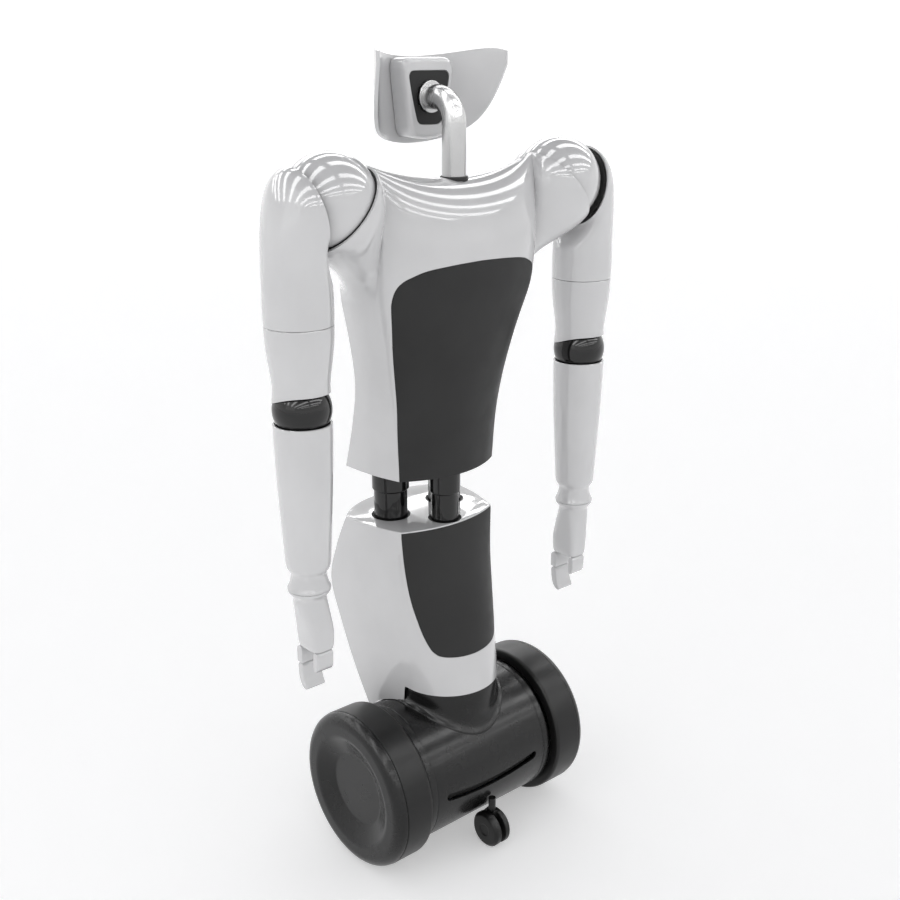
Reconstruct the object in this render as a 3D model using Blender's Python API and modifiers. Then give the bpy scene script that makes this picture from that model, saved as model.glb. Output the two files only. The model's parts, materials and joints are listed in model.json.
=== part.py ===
"""Self balancing robot: a torso with two arms and a visor head on a lifting leg, on a two wheeled drum base.

Metres, +Z up, floor at z = 0, +X to the robot's right hand side as seen from -Y, dark panels toward -Y.
Shapes are worked out with the wheel axle at y = 0; the last step moves everything by AXLE_Y.
"""

import math

import bmesh
import bpy
from mathutils import Quaternion, Vector

OBJECT = "self_balancing_robot"
GAP = 0.0003
CUTTER_SPIN = 0.07
AXLE_Y = -0.0285

# Wheels and base drum
WHEEL_R = 0.150
WHEEL_IN = 0.1600
WHEEL_SEAM = 0.2192
WHEEL_OUT = 0.2395
DISH_R = 0.082
DISH_DEPTH = 0.0135
RIM_R = 0.128
SHAFT_R = 0.008
BASE_R = 0.134
BASE_HALF = 0.150
BASE_WALL = 0.005
PLATE_T = 0.004
SLOT_HALF = 0.107
SLOT_H = 0.011
SLOT_Z = 0.139
SLOT_SAG = 0.007

# Casters
CASTER_R = 0.035
CASTER_Y = 0.132
CASTER_HALF = 0.020
GROOVE_HALF = 0.0055
STEM_R = 0.007
BOSS_R = 0.014
BOSS_Z = 0.078
BOSS_TOP = 0.112
STEM_Z = 0.100

# Leg
COLLAR_Z = 0.3165
COLLAR_R = 0.100
LEG_TOP = 0.6375
LEG_FOOT = 0.236
LEG_WALL = 0.0045
PANEL_T = 0.0025
PANEL_BACK_Y = 0.0035

# Columns that carry the torso
SIDE_COL = (0.0657, 0.086)
SIDE_COL_R = 0.0315
SIDE_SLEEVE_R = 0.0348
SIDE_HOLE_R = 0.0367
MID_COL = (0.0, 0.007)
MID_COL_R = 0.0257
MID_SLEEVE_R = 0.0289
MID_HOLE_R = 0.0310
SLEEVE_Z = 0.690
COL_FOOT = 0.430

# Torso
TORSO_Z = 0.736
TORSO_WALL = 0.0040
CHEST_Z = 1.05
NECK_Y = -0.018
NECK_Z = 1.262
PIPE_R = 0.0205
NECK_HOLE_R = 0.0262

# Shoulders
BALL = (0.2540, -0.0135, 1.2395)
BALL_R = 0.0785
CUP_ANGLE = math.radians(38.7)
CUP_BACK = 0.0200
CUP_RIM_R = 0.0837
BALL_GAP = 0.0010
RING_OUT = 0.0022
ARM_CUP_ANGLE = math.radians(-13.7)
ARM_CUP_OUT = 0.0565
ARM_CUP_R = 0.0735
LINER_T = 0.0092

# Arms
ARM = (0.3230, -0.0170)
ARM_SEAM_Z = 1.054
ARM_R = 0.0563
ELBOW = (*ARM, 0.9157)
ELBOW_R = 0.0492
RIM_Z = 0.8926
FOREARM_R = 0.049
WRIST_Z = 0.601
WRIST_R = 0.0372
PALM_FOOT = 0.4885
FINGER_T = 0.016
FINGER_HALF = 0.021
FINGER_Y = 0.0225
KNUCKLE_Z = 0.4770
TIP_Z = 0.4450
THUMB_Y = -0.0235

# Head
PIVOT = (0.0, 0.066, 1.390)
BEND_R = 0.042
VISOR_R = 0.155
VISOR_T = 0.006
VISOR_AXIS_Y = -0.055
VISOR_HALF = 0.143

# Colour, roughness and metallic value of each finish
FINISHES = {
    "white_shell": ((0.82, 0.83, 0.85, 1.0), 0.18, 0.0),
    "charcoal_panel": ((0.032, 0.032, 0.034, 1.0), 0.55, 0.0),
    "black_housing": ((0.018, 0.018, 0.019, 1.0), 0.38, 0.0),
    "black_gloss": ((0.012, 0.012, 0.013, 1.0), 0.15, 0.0),
    "tyre_rubber": ((0.016, 0.016, 0.017, 1.0), 0.50, 0.0),
    "soft_black": ((0.010, 0.010, 0.010, 1.0), 0.70, 0.0),
    "satin_steel": ((0.55, 0.56, 0.57, 1.0), 0.30, 1.0),
    "aluminium": ((0.60, 0.61, 0.62, 1.0), 0.40, 1.0),
    "board_green": ((0.02, 0.10, 0.05, 1.0), 0.50, 0.0),
    "battery_blue": ((0.04, 0.08, 0.20, 1.0), 0.50, 0.0),
}


def clear_scene():
    for obj in list(bpy.data.objects):
        bpy.data.objects.remove(obj, do_unlink=True)


def new_group(name, hidden):
    group = bpy.data.collections.new(name)
    group.hide_render = hidden
    bpy.context.scene.collection.children.link(group)
    return group


def new_material(name, finish):
    color, roughness, metallic = FINISHES[finish]
    material = bpy.data.materials.new(name)
    material.use_nodes = True
    shader = material.node_tree.nodes["Principled BSDF"]
    shader.inputs["Base Color"].default_value = color
    shader.inputs["Roughness"].default_value = roughness
    shader.inputs["Metallic"].default_value = metallic
    material.diffuse_color = color
    return material


def add_object(name, mesh, origin, finish):
    """A part when it has a finish, and a hidden cutter when it has none."""
    obj = bpy.data.objects.new(name, mesh)
    obj.location = origin
    if finish is None:
        CUTTERS.objects.link(obj)
        obj.hide_render = True
        obj.display_type = "WIRE"
    else:
        PARTS.objects.link(obj)
        mesh.materials.append(new_material(name + "_" + finish, finish))
    return obj


def mesh_object(name, points, faces, origin, finish, smooth=True):
    mesh = bpy.data.meshes.new(name)
    mesh.from_pydata([Vector(p) - Vector(origin) for p in points], [], faces)
    mesh.update()
    mesh.polygons.foreach_set("use_smooth", [smooth] * len(mesh.polygons))
    return add_object(name, mesh, origin, finish)


def wall_strip(low, high, count):
    """Triangles between two rings of points, given the number of each ring's first point."""
    faces = []
    for i in range(count):
        j = (i + 1) % count
        faces += [(low + i, low + j, high + j), (low + i, high + j, high + i)]
    return faces


def loft(name, rings, origin, finish):
    """Skin closed rings of equal length and cap both ends."""
    count = len(rings[0])
    points = [p for ring in rings for p in ring]
    faces = []
    for row in range(len(rings) - 1):
        faces += wall_strip(row * count, (row + 1) * count, count)
    faces.append(tuple(reversed(range(count))))
    faces.append(tuple(range(len(points) - count, len(points))))
    obj = mesh_object(name, points, faces, origin, finish)
    work = bmesh.new()
    work.from_mesh(obj.data)
    bmesh.ops.recalc_face_normals(work, faces=work.faces)
    work.to_mesh(obj.data)
    work.free()
    return obj


def turned(name, profile, origin, axis, finish, steps=20):
    """Turn a profile of (radius, height) points, listed from top to bottom, about an axis through origin."""
    mesh = bpy.data.meshes.new(name)
    closed = profile[0] == profile[-1]
    count = len(profile) - closed
    edges = [(i, (i + 1) % count) for i in range(len(profile) - 1)]
    mesh.from_pydata([(r, 0.0, h) for r, h in profile[:count]], edges, [])
    obj = add_object(name, mesh, origin, finish)
    turn = Vector(axis).to_track_quat("Z", "Y") @ Quaternion((0, 0, 1), 0.0 if finish else CUTTER_SPIN)
    obj.rotation_euler = turn.to_euler()
    screw = obj.modifiers.new("Turn", "SCREW")
    screw.axis = "Z"
    screw.angle = math.tau
    screw.steps = steps
    screw.render_steps = steps
    screw.use_merge_vertices = True
    screw.merge_threshold = 0.00005
    screw.use_smooth_shade = True
    return obj


def ring_profile(inner, outer, low, high):
    """A tube wall as a closed profile."""
    return [(inner, high), (outer, high), (outer, low), (inner, low), (inner, high)]


def rod_profile(radius, low, high):
    return [(0.0, high), (radius, high), (radius, low), (0.0, low)]


def ball_profile(radius, steps=10):
    turns = [math.pi * i / steps for i in range(steps + 1)]
    return [(radius * math.sin(t), radius * math.cos(t)) for t in turns]


def zone_profile(inner, outer, low, high, steps=2):
    """A ring between two balls on one centre, cut at two heights."""
    heights = [high + (low - high) * i / steps for i in range(steps + 1)]
    outside = [(math.sqrt(outer**2 - h**2), h) for h in heights]
    inside = [(math.sqrt(inner**2 - h**2), h) for h in reversed(heights)]
    return outside + inside + outside[:1]


def box(name, size, centre, finish, origin=None, round_by=0.0):
    half = [s / 2 for s in size]
    signs = [(x, y, z) for z in (-1, 1) for y in (-1, 1) for x in (-1, 1)]
    points = [tuple(c + s * h for c, s, h in zip(centre, sign, half)) for sign in signs]
    faces = [(0, 2, 3, 1), (4, 5, 7, 6), (0, 1, 5, 4), (2, 6, 7, 3), (0, 4, 6, 2), (1, 3, 7, 5)]
    obj = mesh_object(name, points, faces, origin or centre, finish, smooth=False)
    if round_by:
        bevel = obj.modifiers.new("Round", "BEVEL")
        bevel.width = round_by
        bevel.segments = 2
        bevel.limit_method = "ANGLE"
    return obj


def boolean(obj, other, operation):
    modifier = obj.modifiers.new(other.name, "BOOLEAN")
    modifier.operation = operation
    modifier.solver = "EXACT"
    modifier.object = other
    return obj


def cut(obj, *cutters):
    for cutter in cutters:
        boolean(obj, cutter, "DIFFERENCE")
    return obj


def rod_cutter(name, radius, low, high, centre, axis=(0, 0, 1), steps=20):
    return turned(name, rod_profile(radius, low, high), centre, axis, None, steps)


def blend(a, b, t):
    return a + (b - a) * t


def spline_at(stations, key):
    """Catmull-Rom value of each column of stations, whose first column is the key."""
    keys = [row[0] for row in stations]
    i = 0
    while i < len(keys) - 2 and key > keys[i + 1]:
        i += 1
    t = (key - keys[i]) / (keys[i + 1] - keys[i])
    values = []
    for column in range(1, len(stations[0])):
        p = [row[column] for row in stations]
        span = keys[i + 1] - keys[i]
        slope = (p[i + 1] - p[i]) / span
        before = (p[i + 1] - p[i - 1]) / (keys[i + 1] - keys[i - 1]) if i else slope
        last = i + 2 >= len(p)
        after = slope if last else (p[i + 2] - p[i]) / (keys[i + 2] - keys[i])
        h = (2 * t**3 - 3 * t**2 + 1, t**3 - 2 * t**2 + t, 3 * t**2 - 2 * t**3, t**3 - t**2)
        values.append(h[0] * p[i] + h[1] * span * before + h[2] * p[i + 1] + h[3] * span * after)
    return values


def hermite(p0, t0, p1, t1, t):
    h = (2 * t**3 - 3 * t**2 + 1, t**3 - 2 * t**2 + t, 3 * t**2 - 2 * t**3, t**3 - t**2)
    return h[0] * Vector(p0) + h[1] * Vector(t0) + h[2] * Vector(p1) + h[3] * Vector(t1)


def body_outline(stations, z, counts):
    """Half of a body section from its front middle to its rear middle, at x >= 0.

    Each station holds z, the front middle's y, the front corner's x and y, how round the front is,
    the ridge's x and y, and the rear middle's y. The counts are the steps along front, side and rear.
    """
    front, side, rear = counts
    front_y, corner_x, corner_y, roundness, ridge_x, ridge_y, rear_y = spline_at(stations, z)
    half = []
    for i in range(front):
        u = i / front
        arc = u * math.pi / 2
        x = corner_x * blend(u, math.sin(arc), roundness)
        y = blend(front_y, corner_y, blend(u**2, 1 - math.cos(arc), roundness))
        half.append((x, y))
    for i in range(side):
        u = i / side
        bulge = 0.006 * math.sin(math.pi * u)
        half.append((blend(corner_x, ridge_x, u) + bulge, blend(corner_y, ridge_y, u)))
    for i in range(rear + 1):
        u = i / rear
        x = ridge_x * blend(1 - u, math.cos(u * math.pi / 2), 0.35)
        y = blend(ridge_y, rear_y, 1 - (1 - u) ** 2)
        half.append((x, y))
    return half


def whole_ring(half, z):
    """Mirror half a section, so that the ring runs anticlockwise seen from above."""
    right = [(x, y, z) for x, y in half]
    left = [(-x, y, z) for x, y in half[-2:0:-1]]
    return right + left


LEG_STATIONS = (
    (0.236, -0.096, 0.096, 0.000, 1.00, 0.108, 0.110, 0.135),
    (0.316, -0.096, 0.098, 0.000, 1.00, 0.117, 0.144, 0.172),
    (0.400, -0.078, 0.103, -0.002, 0.85, 0.125, 0.172, 0.203),
    (0.490, -0.060, 0.108, -0.002, 0.55, 0.133, 0.192, 0.224),
    (0.570, -0.041, 0.110, 0.000, 0.25, 0.1345, 0.167, 0.215),
    (0.6375, -0.026, 0.110, 0.000, 0.05, 0.138, 0.130, 0.187),
)

TORSO_STATIONS = (
    (0.736, -0.036, 0.1115, 0.000, 0.05, 0.130, 0.136, 0.190),
    (0.820, -0.042, 0.1175, -0.002, 0.15, 0.131, 0.112, 0.168),
    (0.900, -0.052, 0.1285, -0.005, 0.35, 0.1365, 0.090, 0.148),
    (0.980, -0.063, 0.1430, -0.011, 0.60, 0.1470, 0.084, 0.134),
    (1.050, -0.074, 0.1600, -0.016, 0.85, 0.1600, 0.080, 0.124),
)


def base_parts():
    length = BASE_HALF + PLATE_T
    drum = ring_profile(BASE_R - BASE_WALL, BASE_R, -length, length)
    shell = turned("base_shell", drum, (0, 0, WHEEL_R), (1, 0, 0), "black_housing", 32)
    for side, name in ((-1, "left"), (1, "right")):
        recess = rod_cutter(
            f"cut_{name}_seat", BASE_R - 0.0035, -PLATE_T, PLATE_T,
            (side * (BASE_HALF + PLATE_T), 0, WHEEL_R), (1, 0, 0), 32,
        )
        cut(shell, recess)
    for side, name in ((-1, "front"), (1, "rear")):
        bore = STEM_R + 2 * GAP
        boss = [(0.0, BOSS_TOP), (BOSS_R, BOSS_TOP), (BOSS_R, BOSS_Z), (bore, BOSS_Z), (bore, STEM_Z + GAP),
                (0.0, STEM_Z + GAP)]
        boolean(shell, turned(f"{name}_boss", boss, (0, side * CASTER_Y, 0), (0, 0, 1), None, 20), "UNION")
    cut(shell, slot_cutter("cut_slot", 0.0, 0.08))
    for side, name in ((-1, "left"), (1, "right")):
        plate = ring_profile(SHAFT_R + 0.0015, BASE_R - 0.0035 - 3 * GAP, -PLATE_T / 2, PLATE_T / 2)
        x = side * (BASE_HALF + PLATE_T / 2 + GAP)
        turned(f"{name}_end_plate", plate, (x, 0, WHEEL_R), (1, 0, 0), "black_housing", 32)
        motor = [
            (0.0, 0.0655), (SHAFT_R, 0.0655), (SHAFT_R, 0.0), (0.042, 0.0), (0.042, -0.055),
            (0.030, -0.060), (0.0, -0.060),
        ]
        centre = (side * (BASE_HALF - 0.0005), 0, WHEEL_R)
        turned(f"{name}_drive_motor", motor, centre, (side, 0, 0), "aluminium", 24)
    box("battery_pack", (0.17, 0.12, 0.055), (0, 0, 0.071), "battery_blue", round_by=0.004)
    box("control_board", (0.15, 0.10, 0.003), (0, 0, 0.215), "board_green")
    slot_cutter("slot_sensor_bar", BASE_WALL + 0.0085, 0.010, "soft_black", 0.004)


def slot_cutter(name, depth, thickness, finish=None, grow=0.0):
    """A bar that follows the slot's smile round the drum, thickness deep from a depth below its face."""
    steps = 12
    half = SLOT_HALF + grow
    high = SLOT_H / 2 + grow
    edge = []
    for i in range(steps + 1):
        edge.append((half * (2 * i / steps - 1), -1))
    for i in range(1, 4):
        turn = -math.pi / 2 + math.pi * i / 4
        edge.append((half + high * math.cos(turn), math.sin(turn)))
    for i in range(steps, -1, -1):
        edge.append((half * (2 * i / steps - 1), 1))
    for i in range(1, 4):
        turn = math.pi / 2 + math.pi * i / 4
        edge.append((-half + high * math.cos(turn), math.sin(turn)))
    outside = -BASE_R + depth if finish else -BASE_R - 0.01
    rings = []
    for y in (outside, outside + thickness):
        ring = []
        for x, v in edge:
            sag = SLOT_SAG * (1 - (x / SLOT_HALF) ** 2)
            ring.append((x, y, SLOT_Z + SLOT_SAG - sag + v * high))
        rings.append(ring)
    return loft(name, [list(reversed(r)) for r in rings], (0, rings[0][0][1], SLOT_Z), finish)


def caster(name, side):
    y = side * CASTER_Y
    disc = CASTER_R - 0.002
    spool = [
        (0.0, CASTER_HALF), (disc - 0.004, CASTER_HALF), (disc, CASTER_HALF - 0.001),
        (CASTER_R, CASTER_HALF - 0.005), (CASTER_R, GROOVE_HALF), (0.010, GROOVE_HALF),
        (0.010, -GROOVE_HALF), (CASTER_R, -GROOVE_HALF), (CASTER_R, 0.005 - CASTER_HALF),
        (disc, 0.001 - CASTER_HALF), (disc - 0.004, -CASTER_HALF), (0.0, -CASTER_HALF),
    ]
    centre = (0, y, CASTER_R)
    turned(f"{name}_caster_wheel", spool, centre, (1, 0, 0), "tyre_rubber", 20)
    plate_half = GROOVE_HALF - 0.0008
    plate = ring_profile(0.0105, 0.0165, -plate_half, plate_half)
    fork = turned(f"{name}_caster_fork", plate, centre, (1, 0, 0), "black_housing", 24)
    blade = box(f"{name}_fork_blade", (2 * plate_half, 0.020, 0.026), (0, y, 0.0620), None)
    stem = rod_cutter(f"{name}_fork_stem", STEM_R, 0.072, STEM_Z, (0, y, 0), steps=16)
    boolean(fork, blade, "UNION")
    boolean(fork, stem, "UNION")


def wheel(name, side):
    tread = [
        (RIM_R + 4 * GAP, WHEEL_SEAM - GAP), (WHEEL_R, WHEEL_SEAM - GAP), (WHEEL_R, WHEEL_IN + 0.002),
        (WHEEL_R - 0.002, WHEEL_IN), (RIM_R + 4 * GAP, WHEEL_IN), (RIM_R + 4 * GAP, WHEEL_SEAM - GAP),
    ]
    turned(f"{name}_tyre", tread, (0, 0, WHEEL_R), (side, 0, 0), "tyre_rubber", 36)
    floor = WHEEL_OUT - DISH_DEPTH
    cap = [
        (0.0, floor), (DISH_R, floor), (WHEEL_R - 0.028, WHEEL_OUT), (WHEEL_R - 0.017, WHEEL_OUT - 0.0008),
        (WHEEL_R - 0.007, WHEEL_OUT - 0.0055), (WHEEL_R - 0.0015, WHEEL_OUT - 0.0135),
        (WHEEL_R - 0.0005, WHEEL_SEAM), (RIM_R, WHEEL_SEAM), (RIM_R, WHEEL_IN + 0.003),
        (RIM_R - 0.006, WHEEL_IN + 0.003), (RIM_R - 0.006, floor - 0.012), (0.030, floor - 0.012),
        (0.030, 0.175), (SHAFT_R + 0.0005, 0.175), (SHAFT_R + 0.0005, floor - 0.008), (0.0, floor - 0.008),
    ]
    turned(f"{name}_hub", cap, (0, 0, WHEEL_R), (side, 0, 0), "black_housing", 28)


def inset(ring, distance):
    """Move each point of an anticlockwise level ring inward."""
    moved = []
    for i, point in enumerate(ring):
        after, before = ring[(i + 1) % len(ring)], ring[i - 1]
        along = Vector((after[0] - before[0], after[1] - before[1])).normalized()
        moved.append((point[0] - along.y * distance, point[1] + along.x * distance, point[2]))
    return moved


def skin(surface, name, finish, inward, outward=0.0, origin=(0, 0, 0)):
    """A wall round an open surface, reaching inward and outward from it."""
    points, faces = surface
    obj = mesh_object(name, points, faces, origin, finish)
    solidify = obj.modifiers.new("Wall", "SOLIDIFY")
    solidify.thickness = inward + outward
    solidify.offset = (outward - inward) / (inward + outward)
    solidify.use_even_offset = True
    return obj


def front_prism(name, half, y_near, y_far, grow=0.0):
    """Extrude an outline along Y, given as its half at x >= 0, in order and clockwise seen from -Y."""
    outline = half + [(-x, z) for x, z in reversed(half) if x > 0]
    outline = inset([(x, z, 0) for x, z in outline], grow)
    rings = [[(x, y, z) for x, z, _ in outline] for y in (y_near, y_far)]
    return loft(name, rings, (0, y_near, half[0][1]), None)


def flush_panel(name, shell, wall, outline):
    """Set a panel into a shell, flush with its face, where wall makes the shell's wall at any depth."""
    pocket = front_prism(f"cut_{name}", outline, -0.2, PANEL_BACK_Y + GAP, grow=GAP)
    boolean(pocket, wall(f"{name}_depth", None, PANEL_T + 2 * GAP, 0.003), "INTERSECT")
    cut(shell, pocket)
    panel = wall(name, "charcoal_panel", PANEL_T)
    boolean(panel, front_prism(f"{name}_edge", outline, -0.2, PANEL_BACK_Y), "INTERSECT")


LEG_COUNTS = (5, 3, 4)
LEG_ROWS = 8
EDGE = 0.0015


def leg_wall(name, finish, inward, outward=0.0):
    """The leg's cover as a wall, closed on top and open below, reaching inward and outward from its face."""
    steps = [LEG_FOOT + (LEG_TOP - LEG_FOOT) * i / LEG_ROWS for i in range(LEG_ROWS)]
    section = {z: whole_ring(body_outline(LEG_STATIONS, z, LEG_COUNTS), z) for z in (*steps, LEG_TOP)}
    inner = [inset(section[z], inward) for z in steps]
    outer = [inset(section[z], -outward) for z in steps]
    top = section[LEG_TOP]
    inner.append([(x, y, LEG_TOP - inward) for x, y, _ in inset(top, inward)])
    outer.append([(x, y, LEG_TOP - EDGE) for x, y, _ in inset(top, -outward)])
    outer.append([(x, y, LEG_TOP + outward) for x, y, _ in inset(top, EDGE - outward)])
    return loft(name, inner[::-1] + outer, (0, 0, LEG_TOP), finish)


def leg_parts():
    collar = [
        (0.020, COLLAR_Z), (0.091, COLLAR_Z), (0.0945, COLLAR_Z - 0.0025), (0.0950, 0.292),
        (0.0965, 0.275), (COLLAR_R, 0.264), (COLLAR_R, 0.200), (0.088, 0.200),
        (0.088, COLLAR_Z - 0.007), (0.020, COLLAR_Z - 0.007), (0.020, COLLAR_Z),
    ]
    drum = rod_cutter("cut_drum", BASE_R + 4 * GAP, -0.16, 0.16, (0, 0, WHEEL_R), (1, 0, 0), 32)
    cut(turned("leg_collar", collar, (0, 0, 0), (0, 0, 1), "black_housing", 32), drum)
    shell = leg_wall("leg_shell", "white_shell", LEG_WALL)
    outline = [
        (0.1095, LEG_TOP - 0.003), (0.1056, 0.570), (0.1003, 0.508), (0.0925, 0.459), (0.0861, 0.430),
        (0.0792, 0.410), (0.0740, 0.402), (0.0676, 0.397), (0.0550, 0.3935), (0.030, 0.391), (0.0, 0.390),
    ]
    flush_panel("leg_panel", shell, leg_wall, outline)
    cut(shell, rod_cutter("cut_collar", COLLAR_R + GAP, 0.20, COLLAR_Z + GAP, (0, 0, 0), steps=40), drum)
    for side, name in ((-1, "left"), (1, "right")):
        centre = (side * SIDE_COL[0], SIDE_COL[1], 0)
        cut(shell, rod_cutter(f"cut_{name}_hole", SIDE_HOLE_R, 0.60, 0.66, centre))
        bushing = ring_profile(SIDE_COL_R + GAP, SIDE_HOLE_R - 3 * GAP, 0.605, LEG_TOP - 0.001)
        turned(f"{name}_bushing", bushing, centre, (0, 0, 1), "soft_black")
        column_part(f"{name}_column", SIDE_COL_R, SIDE_SLEEVE_R, centre)
    centre = (*MID_COL, 0)
    cut(shell, rod_cutter("cut_centre_hole", MID_HOLE_R, 0.60, 0.66, centre))
    bushing = ring_profile(MID_COL_R + GAP, MID_HOLE_R - 3 * GAP, 0.6045, LEG_TOP - 0.001)
    turned("centre_bushing", bushing, centre, (0, 0, 1), "soft_black")
    column_part("centre_column", MID_COL_R, MID_SLEEVE_R, centre)
    tube = ring_profile(MID_COL_R + 0.0005, MID_COL_R + 0.0040, COLLAR_Z + 0.001, 0.604)
    turned("lift_actuator", tube, centre, (0, 0, 1), "aluminium", 28)


def column_part(name, radius, sleeve, centre):
    top = TORSO_Z + 0.0012
    profile = [
        (radius - 0.004, top), (sleeve, top), (sleeve, SLEEVE_Z), (radius, SLEEVE_Z - 0.002),
        (radius, COL_FOOT), (radius - 0.004, COL_FOOT), (radius - 0.004, top),
    ]
    turned(name, profile, centre, (0, 0, 1), "black_gloss")


TORSO_COUNTS = (7, 14, 7)
TORSO_ROWS = 3
SHOULDER_ROWS = 5
CREST_STEPS = 5
CREST_REACH = math.radians(30)
CREST_TURN = 0.6


def cup_frame(angle):
    """The direction a cup faces and the upward direction across it, for the cup at +X."""
    facing = Vector((math.cos(angle), 0, math.sin(angle)))
    return facing, Vector((-facing.z, 0, facing.x))


def crest_height(x):
    return NECK_Z + 0.0315 * (abs(x) / 0.189) ** 2.2


def shoulder_end(index, last):
    """Where a torso column ends, its slope there, and how far it has turned from the crest to the cup."""
    facing, up = cup_frame(CUP_ANGLE)
    centre = Vector(BALL) - facing * CUP_BACK
    crest_end = centre + up * CUP_RIM_R
    front = index <= CREST_STEPS
    if front or index >= last - CREST_STEPS:
        step = index if front else last - index
        x = crest_end.x * step / CREST_STEPS
        y = crest_end.y - (0.004 if step < CREST_STEPS else 0.0)
        over = Vector((0, 0.22 if front else -0.22, 0.02))
        weight = CREST_TURN * (step / CREST_STEPS) ** 3
        return Vector((x, y, crest_height(x))), over.lerp(facing * 0.15, weight), weight
    turn = math.tau * (index - CREST_STEPS) / (last - 2 * CREST_STEPS)
    point = centre + CUP_RIM_R * (math.cos(turn) * up - math.sin(turn) * Vector((0, 1, 0)))
    weight = blend(CREST_TURN, 1.0, min(1.0, min(turn, math.tau - turn) / CREST_REACH))
    over = Vector((0, math.copysign(0.22, math.sin(turn)), 0.02))
    return point, over.lerp(facing * 0.15, weight), weight


def torso_surface(skirt):
    """Points and faces of the torso's cover, open at the bottom and at both shoulder cups."""
    heights = [TORSO_Z + (CHEST_Z - TORSO_Z) * i / TORSO_ROWS for i in range(TORSO_ROWS + 1)]
    if skirt:
        heights.insert(0, TORSO_Z - skirt)
    halves = [body_outline(TORSO_STATIONS, z, TORSO_COUNTS) for z in heights]
    last = len(halves[0]) - 1
    rows = [[(x, y, z) for x, y in half] for half, z in zip(halves, heights)]
    below = body_outline(TORSO_STATIONS, CHEST_Z - 0.01, TORSO_COUNTS)
    for row in range(1, SHOULDER_ROWS + 1):
        t = row / SHOULDER_ROWS
        points = []
        for i in range(last + 1):
            x, y = halves[-1][i]
            end, slope, weight = shoulder_end(i, last)
            rise = blend(0.28, 0.20, weight)
            lean = Vector(((x - below[i][0]) / 0.01, (y - below[i][1]) / 0.01, 1)) * rise
            point = hermite((x, y, CHEST_Z), lean, end, slope, t)
            points.append((0.0 if i in (0, last) else point.x, point.y, point.z))
        rows.append(points)
    points = []
    index = {}

    def number(point):
        key = tuple(round(c, 6) for c in point)
        if key not in index:
            index[key] = len(points)
            points.append(point)
        return index[key]

    faces = []
    for low, high in zip(rows, rows[1:]):
        for i in range(last):
            for corners in ((low[i], low[i + 1], high[i + 1]), (low[i], high[i + 1], high[i])):
                faces.append(tuple(number(p) for p in corners))
                faces.append(tuple(number((-x, y, z)) for x, y, z in reversed(corners)))
    return points, [face for face in faces if len(set(face)) == 3]


def torso_wall(name, finish, inward, outward=0.0):
    """The torso's cover as a wall. A cutter's wall reaches past the bottom edge."""
    return skin(torso_surface(0.0 if finish else 0.005), name, finish, inward, outward)


def torso_parts():
    shell = torso_wall("torso_shell", "white_shell", TORSO_WALL)
    for side, name in ((-1, "left"), (1, "right")):
        centre = (side * BALL[0], BALL[1], BALL[2])
        room = ball_profile(BALL_R + RING_OUT + 4 * GAP, 14)
        cut(shell, turned(f"cut_{name}_cup", room, centre, (0, 1, 0), None, 24))
    neck = (0, NECK_Y, 0)
    cut(shell, rod_cutter("cut_neck", NECK_HOLE_R, 1.20, 1.30, neck, steps=28))
    outline = [
        (0.0, 1.130), (0.0500, 1.128), (0.1000, 1.1225), (0.1270, 1.113), (0.1400, 1.105),
        (0.1480, 1.093), (0.1512, 1.075), (0.1498, 1.055), (0.1410, 1.004), (0.1240, 0.892),
        (0.1160, 0.816), (0.1105, TORSO_Z - 0.01),
    ]
    flush_panel("torso_panel", shell, torso_wall, outline)
    facing = cup_frame(CUP_ANGLE)[0]
    for side, name in ((-1, "left"), (1, "right")):
        centre = (side * BALL[0], BALL[1], BALL[2])
        axis = (side * facing.x, facing.y, facing.z)
        zone = zone_profile(BALL_R + BALL_GAP, BALL_R + RING_OUT, -0.042, 0.001 - CUP_BACK)
        turned(f"{name}_socket_ring", zone, centre, axis, "soft_black", 24)
        motor_x = side * 0.130
        body = rod_profile(0.020, -0.027, 0.027)
        turned(f"{name}_shoulder_motor", body, (motor_x, BALL[1], BALL[2]), (1, 0, 0), "aluminium", 24)
    ring = ring_profile(PIPE_R + GAP, NECK_HOLE_R - GAP, NECK_Z - 0.006, NECK_Z + 0.0005)
    turned("neck_ring", ring, neck, (0, 0, 1), "soft_black", 28)
    turned("neck_motor", rod_profile(0.030, 1.140, 1.2005), neck, (0, 0, 1), "aluminium", 24)
    plate_z = TORSO_Z + 0.0015
    ring = whole_ring(body_outline(TORSO_STATIONS, plate_z, (5, 3, 4)), plate_z)
    ring = inset(ring, TORSO_WALL + 0.0030)
    top = [(x, y, plate_z + 0.008) for x, y, _ in ring]
    loft("torso_base_plate", [ring, top], (0, 0, plate_z), "black_housing")
    low, high, front = plate_z + 0.008 + GAP, 1.205, 0.013
    spine = box("spine_frame", (0.05, 0.02, high - low), (0, front + 0.01, (low + high) / 2), "aluminium")
    beam = box("spine_beam", (0.31, 0.019, 0.03), (0, front + 0.01, high - 0.020), None)
    boolean(spine, beam, "UNION")


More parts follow.
